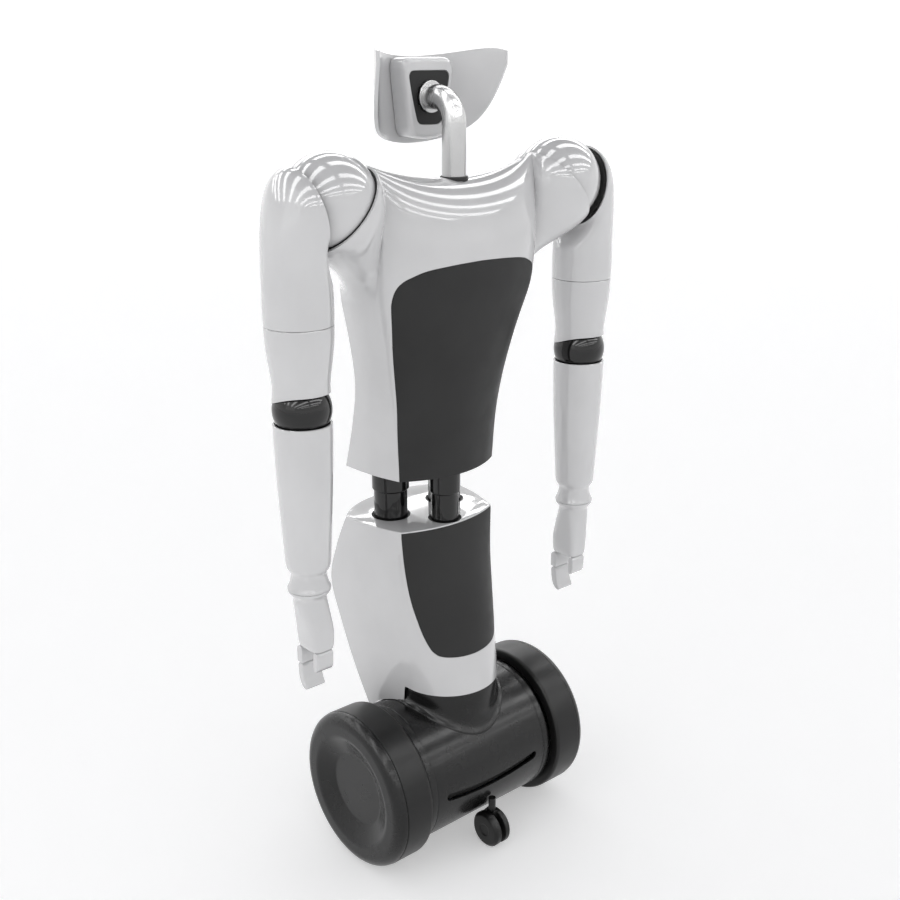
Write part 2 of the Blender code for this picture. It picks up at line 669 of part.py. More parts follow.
def arm_tube(side):
    """Rings of the upper arm from its seam up to the rim of its shoulder cup."""
    facing, up = cup_frame(ARM_CUP_ANGLE)
    rim = Vector(BALL) + facing * ARM_CUP_OUT
    start_z = ARM_SEAM_Z + GAP
    straight_z = 1.110
    steps, rows = 20, 5
    rings = []
    for z, radius in ((start_z, ARM_R), (1.085, ARM_R + 0.0007), (straight_z, ARM_R)):
        turns = [math.tau * i / steps for i in range(steps)]
        rings.append([(ARM[0] + radius * math.cos(t), ARM[1] + radius * math.sin(t), z) for t in turns])
    for row in range(1, rows + 1):
        ring = []
        for i in range(steps):
            turn = math.tau * i / steps
            outer = (1 + math.cos(turn)) / 2
            start = rings[2][i]
            end = rim + ARM_CUP_R * (math.cos(turn) * up + math.sin(turn) * Vector((0, 1, 0)))
            slope = -facing * blend(0.0, 0.13, outer) + Vector((0, 0, 0.05 * (1 - outer)))
            rise = Vector((0, 0, blend(0.04, 0.22, outer)))
            point = hermite(start, rise, end, slope, row / rows)
            ring.append(tuple(point))
        rings.append(ring)
    return [[(side * x, y, z) for x, y, z in ring[::side]] for ring in rings]


def open_tube(rings):
    """Points and faces of a tube of rings, closed at the start and open at the end."""
    count = len(rings[0])
    points = [p for ring in rings for p in ring]
    faces = []
    for row in range(len(rings) - 1):
        faces += wall_strip(row * count, (row + 1) * count, count)
    faces.append(tuple(reversed(range(count))))
    return points, faces


def shoulder(name, side):
    centre = (side * BALL[0], BALL[1], BALL[2])
    ball = turned(f"{name}_shoulder_ball", ball_profile(BALL_R), centre, (0, 0, 1), "white_shell", 24)
    shaft_end = 0.160
    shaft = rod_cutter(
        f"{name}_ball_shaft", 0.012, shaft_end - BALL[0], -0.05, (side * BALL[0], BALL[1], BALL[2]),
        (side, 0, 0), 16,
    )
    boolean(ball, shaft, "UNION")
    facing = cup_frame(ARM_CUP_ANGLE)[0]
    axis = (side * facing.x, facing.y, facing.z)
    zone = zone_profile(BALL_R + BALL_GAP, BALL_R + LINER_T, ARM_CUP_OUT + 0.001, 0.068)
    turned(f"{name}_shoulder_liner", zone, centre, axis, "soft_black", 24)
    arm = skin(open_tube(arm_tube(side)), f"{name}_upper_arm", "white_shell", 0.0035, origin=centre)
    room = BALL_R + LINER_T + 3 * GAP
    cut(arm, turned(f"cut_{name}_arm", ball_profile(room, 14), centre, axis, None, 24))


def forearm_parts(name, side):
    x, y = side * ARM[0], ARM[1]
    wall = 0.003
    outer = [
        (ARM_R, ARM_SEAM_Z - GAP), (0.0556, 1.030), (0.0532, 1.005), (0.0498, 0.980), (0.0475, 0.960),
        (0.0475, 0.945), (0.0488, 0.930), (0.0505, 0.912),
    ]
    inner = [(r - wall, z) for r, z in reversed(outer[1:])]
    deck_z = ARM_SEAM_Z - 0.004
    profile = [(0.015, ARM_SEAM_Z - GAP)] + outer + inner
    profile += [(ARM_R - wall, deck_z), (0.015, deck_z), (0.015, ARM_SEAM_Z - GAP)]
    sleeve = turned(f"{name}_arm_sleeve", profile, (x, y, 0), (0, 0, 1), "white_shell")
    elbow = (side * ELBOW[0], ELBOW[1], ELBOW[2])
    cut(sleeve, turned(f"cut_{name}_elbow", ball_profile(ELBOW_R + 4 * GAP), elbow, (1, 0, 0), None))
    cut(sleeve, sleeve_cutter(name, x, y))
    turned(f"{name}_elbow_ball", ball_profile(ELBOW_R), elbow, (1, 0, 0), "black_gloss")
    tube = [
        (FOREARM_R - 0.0035, RIM_Z), (FOREARM_R, RIM_Z), (0.0487, 0.860), (0.0458, 0.780),
        (0.0420, 0.710), (0.0388, 0.654), (0.0378, 0.643), (0.0345, 0.636), (0.0312, 0.632),
        (0.0306, 0.626), (0.0322, 0.616), (0.0352, 0.607), (WRIST_R, 0.603), (WRIST_R, WRIST_Z + GAP),
        (0.010, WRIST_Z + GAP), (0.010, 0.622), (0.027, 0.640), (0.035, 0.656), (0.0420, 0.780),
        (FOREARM_R - 0.0035, 0.870), (FOREARM_R - 0.0035, RIM_Z),
    ]
    tube = [(radius, z - ELBOW[2]) for radius, z in tube]
    turned(f"{name}_forearm", tube, elbow, (0, 0, 1), "white_shell")


def sleeve_cutter(name, x, y):
    """Everything under the sleeve's lower edge, which runs as an S from low at the rear to high in front."""
    reach = 0.07
    rings = []
    for i in range(13):
        v = i / 6 - 1
        high = 0.935 - 0.010 * math.sin(max(-1, min(1, v * 1.5)) * math.pi / 2)
        corners = ((-reach, 0.85), (-reach, high), (reach, high), (reach, 0.85))
        rings.append([(x + dx, y + v * reach, z) for dx, z in corners])
    return loft(f"cut_{name}_edge", rings, (x, y, 0.9), None)


def rounded_ring(x, y, z, half_x, half_y, power, steps=16):
    """A level superellipse: power 2 is an ellipse, and more is squarer."""
    ring = []
    for i in range(steps):
        turn = math.tau * i / steps
        c, s = math.cos(turn), math.sin(turn)
        dx = math.copysign(abs(c) ** (2 / power), c) * half_x
        dy = math.copysign(abs(s) ** (2 / power), s) * half_y
        ring.append((x + dx, y + dy, z))
    return ring


def side_prism(name, outline, x_low, x_high, origin, finish):
    """Extrude a (y, z) outline along X and round its edges."""
    rings = [[(x, y, z) for y, z in outline] for x in (x_low, x_high)]
    obj = loft(name, rings, origin, finish)
    bevel = obj.modifiers.new("Round", "BEVEL")
    bevel.width = 0.0015
    bevel.segments = 2
    bevel.limit_method = "ANGLE"
    bevel.angle_limit = math.radians(60)
    return obj


def arc(y, z, radius, start, end, steps):
    turns = [math.radians(start + (end - start) * i / steps) for i in range(steps + 1)]
    return [(y + radius * math.cos(t), z + radius * math.sin(t)) for t in turns]


def hand(name, side):
    x, y = side * ARM[0], ARM[1]
    palm = (
        (WRIST_Z - GAP, 0.000, WRIST_R - 0.0007, WRIST_R - 0.0007, 2.0),
        (0.594, 0.000, 0.0345, 0.0345, 2.0),
        (0.587, 0.000, 0.0293, 0.0293, 2.0),
        (0.575, 0.001, 0.0285, 0.0290, 2.2),
        (0.550, 0.005, 0.0262, 0.0300, 3.0),
        (0.520, 0.0088, 0.0243, 0.0315, 4.0),
        (PALM_FOOT, 0.0095, 0.0225, 0.0305, 4.0),
    )
    rings = [rounded_ring(x - side * o, y, z, a, b, power) for z, o, a, b, power in reversed(palm)]
    loft(f"{name}_palm", rings, (x, y, WRIST_Z), "white_shell")
    middle = x - side * 0.0095
    low, high = middle - FINGER_HALF, middle + FINGER_HALF
    radius = FINGER_T / 2
    knuckle_y = y + FINGER_Y
    finger = arc(knuckle_y, KNUCKLE_Z, radius, 0, 180, 6)
    joint_z = TIP_Z + radius
    finger += [(knuckle_y - radius, joint_z), (knuckle_y + radius, joint_z)]
    side_prism(f"{name}_finger", finger, low, high, (x, knuckle_y, KNUCKLE_Z), "white_shell")
    tip_y, tip_z = knuckle_y, TIP_Z - GAP
    tip = arc(tip_y, tip_z, radius - 0.0005, 0, 180, 6)
    tip += [
        (tip_y - radius - 0.001, 0.428), (tip_y - 0.013, 0.416), (tip_y - 0.017, 0.408),
        (tip_y - 0.012, 0.4035), (tip_y - 0.002, 0.409), (tip_y + 0.005, 0.422),
    ]
    side_prism(f"{name}_fingertip", tip, low + 0.001, high - 0.001, (x, tip_y, tip_z), "white_shell")
    thumb_y, thumb_r = y + THUMB_Y, 0.0065
    thumb_z = PALM_FOOT - thumb_r - 0.0020
    thumb = arc(thumb_y, thumb_z, thumb_r, 0, 180, 6)
    thumb += [(thumb_y - 0.005, 0.458), (thumb_y + 0.001, 0.450), (thumb_y + 0.0065, 0.452)]
    side_prism(f"{name}_thumb", thumb, low + 0.002, high - 0.006, (x, thumb_y, thumb_z), "white_shell")


def neck_and_head():
    bend_z = PIVOT[2] - BEND_R
    path = [(NECK_Y, 1.201), (NECK_Y, bend_z)]
    path += arc(NECK_Y + BEND_R, bend_z, BEND_R, 180, 90, 8)[1:]
    path.append((PIVOT[1] - 0.014, PIVOT[2]))
    curve = bpy.data.curves.new("neck_path", "CURVE")
    curve.dimensions = "3D"
    curve.bevel_depth = PIPE_R
    curve.bevel_resolution = 5
    curve.use_fill_caps = True
    spline = curve.splines.new("POLY")
    spline.points.add(len(path) - 1)
    for point, (y, z) in zip(spline.points, path):
        point.co = (0, y - NECK_Y, z, 1)
    guide = bpy.data.objects.new("neck_guide", curve)
    bpy.context.scene.collection.objects.link(guide)
    bpy.context.view_layer.update()
    mesh = bpy.data.meshes.new_from_object(guide.evaluated_get(bpy.context.evaluated_depsgraph_get()))
    bpy.data.objects.remove(guide, do_unlink=True)
    weld(mesh)
    pipe = add_object("neck_pipe", mesh, (0, NECK_Y, 0), "satin_steel")
    flange = ring_profile(PIPE_R - 0.003, PIPE_R + 0.0060, -0.0275, -0.0235)
    boolean(pipe, turned("pipe_flange", flange, PIVOT, (0, 1, 0), None, 28), "UNION")
    knob = [(0.0, 0.016), (0.0115, 0.0112), (0.016, 0.0), (0.0115, -0.0112), (0.0115, -0.020), (0.0, -0.020)]
    boolean(pipe, turned("pipe_knob", knob, PIVOT, (0, 1, 0), None, 20), "UNION")
    housing_half = [(0.0, 1.4540), (0.040, 1.4535), (0.0500, 1.4500), (0.0545, 1.4420), (0.0545, 1.4300),
                    (0.0420, 1.3420), (0.0380, 1.3300), (0.0300, 1.3230), (0.0, 1.3200)]
    full = housing_half + [(-x, z) for x, z in reversed(housing_half[1:-1])]
    middle = 1.388
    rings = []
    for depth, scale in ((0.0450, 0.84), (0.0470, 0.93), (0.0510, 0.98), (0.0570, 1.0), (0.1100, 1.0)):
        rings.append([(x * scale, depth, middle + (z - middle) * scale) for x, z in full])
    housing = loft("head_housing", [r[::-1] for r in rings], PIVOT, "white_shell")
    visor_hole = VISOR_R - VISOR_T - 4 * GAP
    inside = rod_cutter("head_limit", visor_hole, 1.25, 1.50, (0, VISOR_AXIS_Y, 0), steps=96)
    boolean(housing, inside, "INTERSECT")
    panel_half = [(0.0, 1.4320), (0.0350, 1.4320), (0.0420, 1.4280), (0.0430, 1.4180), (0.0280, 1.3560),
                  (0.0230, 1.3480), (0.0150, 1.3450), (0.0, 1.3450)]
    full = panel_half + [(-x, z) for x, z in reversed(panel_half[1:-1])]
    grown = [(x * 1.012, middle + (z - middle) * 1.012) for x, z in full]
    pocket = loft("cut_head_pocket", [[(x, y, z) for x, z in grown[::-1]] for y in (0.03, 0.0490)], PIVOT, None)
    socket = rod_cutter("cut_head_socket", 0.0285, -0.03, 0.0180, PIVOT, (0, 1, 0), 28)
    cut(housing, pocket, socket)
    panel = loft("head_back_panel", [[(x, y, z) for x, z in full[::-1]] for y in (0.0460, 0.0487)], PIVOT,
                 "charcoal_panel")
    cut(panel, rod_cutter("cut_panel_hole", PIPE_R + 0.0055, -0.05, 0.05, PIVOT, (0, 1, 0), 28))
    visor()


def weld(mesh):
    work = bmesh.new()
    work.from_mesh(mesh)
    bmesh.ops.remove_doubles(work, verts=work.verts, dist=0.00001)
    work.to_mesh(mesh)
    work.free()
    mesh.polygons.foreach_set("use_smooth", [True] * len(mesh.polygons))


def visor():
    """A bent sheet, wider and higher at its wings than over the chin."""
    columns, rows = 20, 3
    points, faces = [], []
    for i in range(columns + 1):
        u = math.sin(math.pi / 2 * (2 * i / columns - 1))
        x = VISOR_HALF * u
        y = VISOR_AXIS_Y + math.sqrt(VISOR_R**2 - x**2)
        reach = abs(u)
        high = 1.4550 + 0.019 * reach**2 - 0.010 * reach**14
        low = 1.3115 + 0.045 * reach**2.2 + 0.085 * reach**10
        for j in range(rows + 1):
            points.append((x, y, blend(low, high, j / rows)))
    for i in range(columns):
        for j in range(rows):
            a = i * (rows + 1) + j
            faces.append((a, a + 1, a + rows + 2, a + rows + 1))
    skin((points, faces), "visor", "white_shell", VISOR_T, origin=PIVOT)


def place():
    """Bring the middle of the object's footprint to y = 0."""
    for obj in list(PARTS.objects) + list(CUTTERS.objects):
        obj.location.y += AXLE_Y


clear_scene()
PARTS = new_group(OBJECT, False)
CUTTERS = new_group(OBJECT + "_cutters", True)
base_parts()
for side_name, side_sign in (("front", -1), ("rear", 1)):
    caster(side_name, side_sign)
for side_name, side_sign in (("left", -1), ("right", 1)):
    wheel(side_name, side_sign)
leg_parts()
torso_parts()
for side_name, side_sign in (("left", -1), ("right", 1)):
    shoulder(side_name, side_sign)
    forearm_parts(side_name, side_sign)
    hand(side_name, side_sign)
neck_and_head()
place()
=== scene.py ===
"""Looks of the self balancing robot: surfaces, materials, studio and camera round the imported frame."""

import json
import math

import bmesh
import bpy
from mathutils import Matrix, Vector


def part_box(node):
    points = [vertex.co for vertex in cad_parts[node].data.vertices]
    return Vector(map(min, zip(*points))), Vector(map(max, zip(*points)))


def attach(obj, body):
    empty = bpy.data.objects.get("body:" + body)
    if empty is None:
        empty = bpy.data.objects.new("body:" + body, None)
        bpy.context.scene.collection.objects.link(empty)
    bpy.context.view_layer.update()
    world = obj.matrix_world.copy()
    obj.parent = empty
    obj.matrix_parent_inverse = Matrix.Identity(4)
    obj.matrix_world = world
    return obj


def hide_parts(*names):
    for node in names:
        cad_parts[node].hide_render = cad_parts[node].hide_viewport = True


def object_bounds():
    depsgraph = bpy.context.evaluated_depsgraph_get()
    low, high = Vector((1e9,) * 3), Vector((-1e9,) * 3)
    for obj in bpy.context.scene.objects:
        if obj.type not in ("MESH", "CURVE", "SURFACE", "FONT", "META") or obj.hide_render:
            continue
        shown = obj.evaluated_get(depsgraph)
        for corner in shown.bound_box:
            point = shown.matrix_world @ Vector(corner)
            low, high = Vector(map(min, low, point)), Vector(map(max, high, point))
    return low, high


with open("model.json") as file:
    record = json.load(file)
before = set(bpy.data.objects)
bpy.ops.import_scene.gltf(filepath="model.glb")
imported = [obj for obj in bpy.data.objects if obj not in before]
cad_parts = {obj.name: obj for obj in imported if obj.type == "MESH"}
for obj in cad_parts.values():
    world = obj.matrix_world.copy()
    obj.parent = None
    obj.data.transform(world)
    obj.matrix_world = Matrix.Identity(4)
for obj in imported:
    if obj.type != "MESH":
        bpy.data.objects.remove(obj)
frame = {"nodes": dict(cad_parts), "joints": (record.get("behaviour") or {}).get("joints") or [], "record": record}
CAD_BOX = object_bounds()
RECORD = frame["record"]
BODY_OF = {node: body for body, nodes in RECORD["behaviour"]["bodies"].items() for node in nodes}
SLOT_OF = {part["node"]: part["material_slot"] for part in RECORD["subparts"]}
JOINT_AT = {joint["name"]: Vector(joint["pos_m"]) for joint in frame["joints"] if "pos_m" in joint}
SIDES = ((-1, "left"), (1, "right"))

# Places read from the frame, on the right side where there are two
AXLE = JOINT_AT["right_wheel_spin"]
SHOULDER = JOINT_AT["right_shoulder_swing"]
ELBOW = JOINT_AT["right_elbow_bend"]
SEAM = JOINT_AT["right_arm_roll"]
WRIST = JOINT_AT["right_wrist_roll"]
KNUCKLE = JOINT_AT["right_finger_bend"]
TIP_JOINT = JOINT_AT["right_fingertip_bend"]
THUMB = JOINT_AT["right_thumb_bend"]
NECK = JOINT_AT["neck_pan"]
HEAD = JOINT_AT["head_tilt"]
LEG_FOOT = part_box("leg_shell")[0].z
LEG_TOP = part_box("leg_shell")[1].z
TORSO_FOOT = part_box("torso_shell")[0].z
COLLAR_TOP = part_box("leg_collar")[1].z
COLUMN_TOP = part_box("left_column")[1].z
COLUMN_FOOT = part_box("left_column")[0].z
WHEEL_R = AXLE.z
BALL_R = (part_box("right_shoulder_ball")[1].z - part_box("right_shoulder_ball")[0].z) / 2
ELBOW_R = (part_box("right_elbow_ball")[1].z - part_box("right_elbow_ball")[0].z) / 2

# Covers: walls, and the panels let into them
HAIR = 0.0003
LEG_WALL = 0.0045
TORSO_WALL = 0.0040
PANEL_T = 0.0025
PANEL_GAP = 0.0006
PANEL_REACH = 0.0035  # how far behind the wheel axle's y the panels end
POCKET_REACH = 0.0038

# Base: the drum, its slot, the wheels and the casters
BASE_R = 0.134
BASE_WALL = 0.005
SLOT_HALF = 0.107
SLOT_H = 0.016
SLOT_Z = 0.139
SLOT_SAG = 0.010
TYRE_BORE = 0.1292
DISH_DEPTH = 0.0175
STEM_R = 0.007
STEM_FOOT = 0.072
STEM_TOP = 0.0998
BLADE_HALF = 0.010
COLLAR_R = 0.0950
COLLAR_ROOM = 0.1003

# Columns: x, y from the axle, radius, radius of the sleeve, radius of the hole in the leg top
SIDE_COL = (0.0657, 0.086, 0.0315, 0.0348, 0.0367)
MID_COL = (0.0, 0.007, 0.0257, 0.0289, 0.0310)
SLEEVE_Z = 0.690
HOLE_SPAN = (0.60, 0.66)

# Torso: the chest's height above the foot, the crest between the shoulders, and the shoulder cups
CHEST = 0.314
CREST_Z = 1.262
CREST_RISE = 0.0315
CREST_STEPS = 18
CREST_REACH = math.radians(30)
CREST_TURN = 0.6
TORSO_COUNTS = (24, 48, 26)
TORSO_ROWS = 16
SHOULDER_ROWS = 24
CUP_ANGLE = math.radians(38.7)
CUP_BACK = 0.0200
CUP_RIM_R = 0.0837
NECK_HOLE_R = 0.0240

# Arms: height and radius of each length of the sleeve and the forearm
ARM_CUP_ANGLE = math.radians(-13.7)
ARM_CUP_OUT = 0.0565
ARM_CUP_R = 0.0735
ARM_R = 0.0563
ARM_WALL = 0.0035
LINER_T = 0.0092
SLEEVE_WALL = 0.003
SLEEVE_SHAPE = (
    (0.912, 0.0505), (0.930, 0.0488), (0.945, 0.0475), (0.960, 0.0475), (0.980, 0.0498), (1.005, 0.0532),
    (1.030, 0.0556), (1.050, 0.0563),
)
FOREARM_R = 0.049
FOREARM_SHAPE = ((0.654, 0.0388), (0.710, 0.0420), (0.780, 0.0458), (0.860, 0.0487), (0.8926, 0.0490))
THUMB_R = 0.0065

# Head: the pipe's bend, the housing with its dark panel, and the visor
PIPE_R = 0.0205
BEND_R = 0.042
HEAD_MIDDLE_Z = 1.388
HOUSING_HALF = (
    (0.0, 1.4540), (0.030, 1.4537), (0.0440, 1.4525), (0.0515, 1.4480), (0.0545, 1.4400), (0.0545, 1.4290),
    (0.0485, 1.3870), (0.0420, 1.3460), (0.0385, 1.3325), (0.0320, 1.3250), (0.018, 1.3212), (0.0, 1.3200),
)
BACK_PANEL_HALF = (
    (0.0, 1.4320), (0.0250, 1.4320), (0.0360, 1.4312), (0.0415, 1.4270), (0.0428, 1.4190), (0.0370, 1.3900),
    (0.0285, 1.3570), (0.0245, 1.3490), (0.0170, 1.3452), (0.0, 1.3445),
)
VISOR_R = 0.155
VISOR_T = 0.006
VISOR_HALF = 0.143
VISOR_TOP = 1.4550
VISOR_FOOT = 1.3115

# Studio: the sky's light, the strips overhead (per metre at 1 m height, lit share, half length, half
# break, least height), the soft fill and the floor
WORLD_STRENGTH = 1.22
STRIP_RATE = 1.5
STRIP_SHARE = 0.32
STRIP_LENGTH = 2.4
STRIP_BREAK = 0.10
STRIP_LOWEST = 0.30
STRIP_GLOW = 4.5
FILL_POWER = 9.0
FLOOR_REACH = 60.0
FLOOR_GLOW = 0.34

# Camera
CAMERA_AT = (-1.3540, -1.6054, 1.4639)
CAMERA_TURN = (math.radians(71.57), 0.0, math.radians(-40.79))
CAMERA_LENS = 47.96


def axle_point(x, y, z):
    """A point measured from the wheel axle's y."""
    return Vector((x, y + AXLE.y, z))


# ---------------------------------------------------------------- materials


def link(tree, source, target):
    tree.links.new(source, target)


def noise_value(tree, coords, scale, detail, stretch=(1, 1, 1)):
    """A noise texture of a given scale, stretched along the axes."""
    mapping = tree.nodes.new("ShaderNodeMapping")
    mapping.inputs["Scale"].default_value = stretch
    noise = tree.nodes.new("ShaderNodeTexNoise")
    noise.inputs["Scale"].default_value = scale
    noise.inputs["Detail"].default_value = detail
    link(tree, coords, mapping.inputs["Vector"])
    link(tree, mapping.outputs["Vector"], noise.inputs["Vector"])
    return noise.outputs["Fac"]


def spread(tree, value, low, high):
    """Map the middle of a noise to a range."""
    node = tree.nodes.new("ShaderNodeMapRange")
    node.inputs["From Min"].default_value = 0.3
    node.inputs["From Max"].default_value = 0.7
    node.inputs["To Min"].default_value = low
    node.inputs["To Max"].default_value = high
    link(tree, value, node.inputs["Value"])
    return node.outputs["Result"]


def surface(name, dark, pale, rough, grain, bump, stretch=(1, 1, 1), metallic=0.0, coat=0.0, edge=0.0,
            specular=0.5):
    """A finish: colour between two tones, a roughness range, and fine grain in its height.

    grain is the scale of the fine noise and bump its height in metres. edge is a radius that rounds sharp
    edges.
    """
    material = bpy.data.materials.new(name)
    material.use_nodes = True
    tree = material.node_tree
    shader = tree.nodes["Principled BSDF"]
    coords = tree.nodes.new("ShaderNodeTexCoord").outputs["Object"]
    tone = tree.nodes.new("ShaderNodeValToRGB")
    tone.color_ramp.elements[0].position = 0.35
    tone.color_ramp.elements[0].color = (*dark, 1)
    tone.color_ramp.elements[1].position = 0.65
    tone.color_ramp.elements[1].color = (*pale, 1)
    link(tree, noise_value(tree, coords, 9.0, 5.0), tone.inputs["Fac"])
    link(tree, tone.outputs["Color"], shader.inputs["Base Color"])
    smudge = noise_value(tree, coords, 26.0, 4.0, stretch)
    link(tree, spread(tree, smudge, *rough), shader.inputs["Roughness"])
    height = tree.nodes.new("ShaderNodeBump")
    height.inputs["Strength"].default_value = 0.35
    height.inputs["Distance"].default_value = bump
    link(tree, noise_value(tree, coords, grain, 2.0, stretch), height.inputs["Height"])
    if edge:
        rounded = tree.nodes.new("ShaderNodeBevel")
        rounded.samples = 4
        rounded.inputs["Radius"].default_value = edge
        link(tree, rounded.outputs["Normal"], height.inputs["Normal"])
    link(tree, height.outputs["Normal"], shader.inputs["Normal"])
    shader.inputs["Metallic"].default_value = metallic
    shader.inputs["Specular IOR Level"].default_value = specular
    shader.inputs["Coat Weight"].default_value = coat
    shader.inputs["Coat Roughness"].default_value = 0.03
    return material


def grey(value, blue=1.0):
    return (value, value, value * blue)


MATERIALS = {
    "white_shell": surface("white_gloss", grey(0.575, 1.01), grey(0.605, 1.01), (0.10, 0.15), 700, 0.00002,
                           coat=0.9, edge=0.0008),
    "charcoal_panel": surface("charcoal_satin", grey(0.022), grey(0.026), (0.40, 0.50), 900, 0.00008,
                              edge=0.0006, specular=0.22),
    "black_housing": surface("black_satin", grey(0.0050), grey(0.0075), (0.22, 0.30), 800, 0.00004,
                             coat=0.05, edge=0.0010, specular=0.32),
    "tyre_rubber": surface("tyre_black", grey(0.0055), grey(0.0085), (0.30, 0.40), 500, 0.00008,
                           edge=0.0012, specular=0.30),
    "black_gloss": surface("black_gloss", grey(0.004), grey(0.006), (0.09, 0.14), 700, 0.00002,
                           coat=0.2, edge=0.0008, specular=0.4),
    "soft_black": surface("soft_black", grey(0.005), grey(0.008), (0.55, 0.70), 600, 0.00010),
    "satin_steel": surface("satin_steel", grey(0.46), grey(0.56), (0.20, 0.30), 420, 0.00003,
                           stretch=(1.0, 1.0, 0.06), metallic=1.0, edge=0.0006),
    "aluminium": surface("cast_aluminium", grey(0.50), grey(0.60), (0.34, 0.46), 350, 0.00008, metallic=1.0),
    "board_green": surface("board_green", (0.015, 0.085, 0.04), (0.02, 0.11, 0.05), (0.4, 0.55), 500,
                           0.00006),
    "battery_blue": surface("battery_blue", (0.035, 0.07, 0.18), (0.045, 0.09, 0.21), (0.4, 0.5), 400,
                            0.00006),
}


# ---------------------------------------------------------------- mesh helpers


def new_object(name, points, faces):
    mesh = bpy.data.meshes.new(name)
    mesh.from_pydata([tuple(p) for p in points], [], faces)
    obj = bpy.data.objects.new(name, mesh)
    bpy.context.scene.collection.objects.link(obj)
    clean(mesh)
    return obj


def clean(mesh):
    """Join doubled points and face everything outward."""
    work = bmesh.new()
    work.from_mesh(mesh)
    bmesh.ops.remove_doubles(work, verts=work.verts, dist=0.000002)
    bmesh.ops.recalc_face_normals(work, faces=work.faces)
    work.to_mesh(mesh)
    work.free()


def settle(obj, sharp=32):
    """Apply an object's modifiers and shade it smooth up to a given angle."""
    graph = bpy.context.evaluated_depsgraph_get()
    mesh = bpy.data.meshes.new_from_object(obj.evaluated_get(graph))
    obj.modifiers.clear()
    obj.data = mesh
    clean(mesh)
    mesh.polygons.foreach_set("use_smooth", [True] * len(mesh.polygons))
    mesh.set_sharp_from_angle(angle=math.radians(sharp))
    return obj


def show(obj, node, sharp=32):
    """Finish a piece that stands for a CAD node and moves with that node's body."""
    settle(obj, sharp)
    obj.name = node + "_look"
    obj.data.materials.clear()
    obj.data.materials.append(MATERIALS[SLOT_OF[node]])
    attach(obj, BODY_OF[node])
    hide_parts(node)
    return obj


def fillet(profile, radius, steps=4):
    """Round the corners of a profile, open or closed."""
    closed = profile[0] == profile[-1]
    points = [Vector(p) for p in (profile[:-1] if closed else profile)]
    made = [] if closed else [profile[0]]
    span = range(len(points)) if closed else range(1, len(points) - 1)
    for i in span:
        before, here, after = points[i - 1], points[i], points[(i + 1) % len(points)]
        reach = min(radius, (before - here).length / 2.05, (after - here).length / 2.05)
        start = here + (before - here).normalized() * reach
        end = here + (after - here).normalized() * reach
        for k in range(steps + 1):
            t = k / steps
            point = start * (1 - t) ** 2 + here * 2 * t * (1 - t) + end * t**2
            made.append((max(point.x, 0.0), point.y))
    made.append(made[0] if closed else profile[-1])
    return made


def lathe(name, profile, centre, axis=(0, 0, 1), steps=96, spin=0.0):
    """Turn a profile of (radius, height) points about an axis through centre."""
    closed = profile[0] == profile[-1]
    rows = profile[:-1] if closed else profile
    turn = Vector(axis).to_track_quat("Z", "Y")
    points = []
    for radius, height in rows:
        for k in range(steps):
            angle = math.tau * k / steps + spin
            point = Vector((radius * math.cos(angle), radius * math.sin(angle), height))
            points.append(turn @ point + Vector(centre))
    faces = []
    for row in range(len(rows) if closed else len(rows) - 1):
        low, high = row * steps, (row + 1) % len(rows) * steps
        faces += [(low + k, low + (k + 1) % steps, high + (k + 1) % steps, high + k) for k in range(steps)]
    return new_object(name, points, faces)


def ball_profile(radius, steps=48):
    turns = [math.pi * i / steps for i in range(steps + 1)]
    return [(radius * math.sin(t), radius * math.cos(t)) for t in turns]


def ring_profile(inner, outer, low, high):
    return [(inner, high), (outer, high), (outer, low), (inner, low), (inner, high)]


def rod(name, radius, low, high, centre, axis=(0, 0, 1), steps=96):
    profile = [(0.0, high), (radius, high), (radius, low), (0.0, low)]
    return lathe(name, profile, centre, axis, steps, spin=0.03)


def loft(name, rings, top=True):
    """Skin rings of equal length, cap the first ring, and cap the last one unless top is False."""
    count = len(rings[0])
    points = [p for ring in rings for p in ring]
    faces = []
    for row in range(len(rings) - 1):
        low, high = row * count, (row + 1) * count
        faces += [(low + k, low + (k + 1) % count, high + (k + 1) % count, high + k) for k in range(count)]
    faces.append(tuple(range(count)))
    if top:
        faces.append(tuple(range(len(points) - count, len(points))))
    return new_object(name, points, faces)


def boolean(obj, other, operation):
    modifier = obj.modifiers.new(other.name, "BOOLEAN")
    modifier.operation = operation
    modifier.solver = "EXACT"
    modifier.object = other
    graph = bpy.context.evaluated_depsgraph_get()
    mesh = bpy.data.meshes.new_from_object(obj.evaluated_get(graph))
    obj.modifiers.clear()
    obj.data = mesh
    bpy.data.objects.remove(other, do_unlink=True)
    return obj


def cut(obj, *cutters):
    for cutter in cutters:
        boolean(obj, cutter, "DIFFERENCE")
    return obj


def blend(a, b, t):
    return a + (b - a) * t


def spline_at(stations, key):
    """Catmull-Rom value of each column of stations, whose first column is the key."""
    keys = [row[0] for row in stations]
    i = 0
    while i < len(keys) - 2 and key > keys[i + 1]:
        i += 1
    span = keys[i + 1] - keys[i]
    t = (key - keys[i]) / span
    values = []
    for column in range(1, len(stations[0])):
        p = [row[column] for row in stations]
        slope = (p[i + 1] - p[i]) / span
        before = (p[i + 1] - p[i - 1]) / (keys[i + 1] - keys[i - 1]) if i else slope
        after = slope if i + 2 >= len(p) else (p[i + 2] - p[i]) / (keys[i + 2] - keys[i])
        h = hermite_weights(t)
        values.append(h[0] * p[i] + h[1] * span * before + h[2] * p[i + 1] + h[3] * span * after)
    return values


def hermite_weights(t):
    return 2 * t**3 - 3 * t**2 + 1, t**3 - 2 * t**2 + t, 3 * t**2 - 2 * t**3, t**3 - t**2


def hermite(p0, t0, p1, t1, t):
    h = hermite_weights(t)
    return h[0] * Vector(p0) + h[1] * Vector(t0) + h[2] * Vector(p1) + h[3] * Vector(t1)


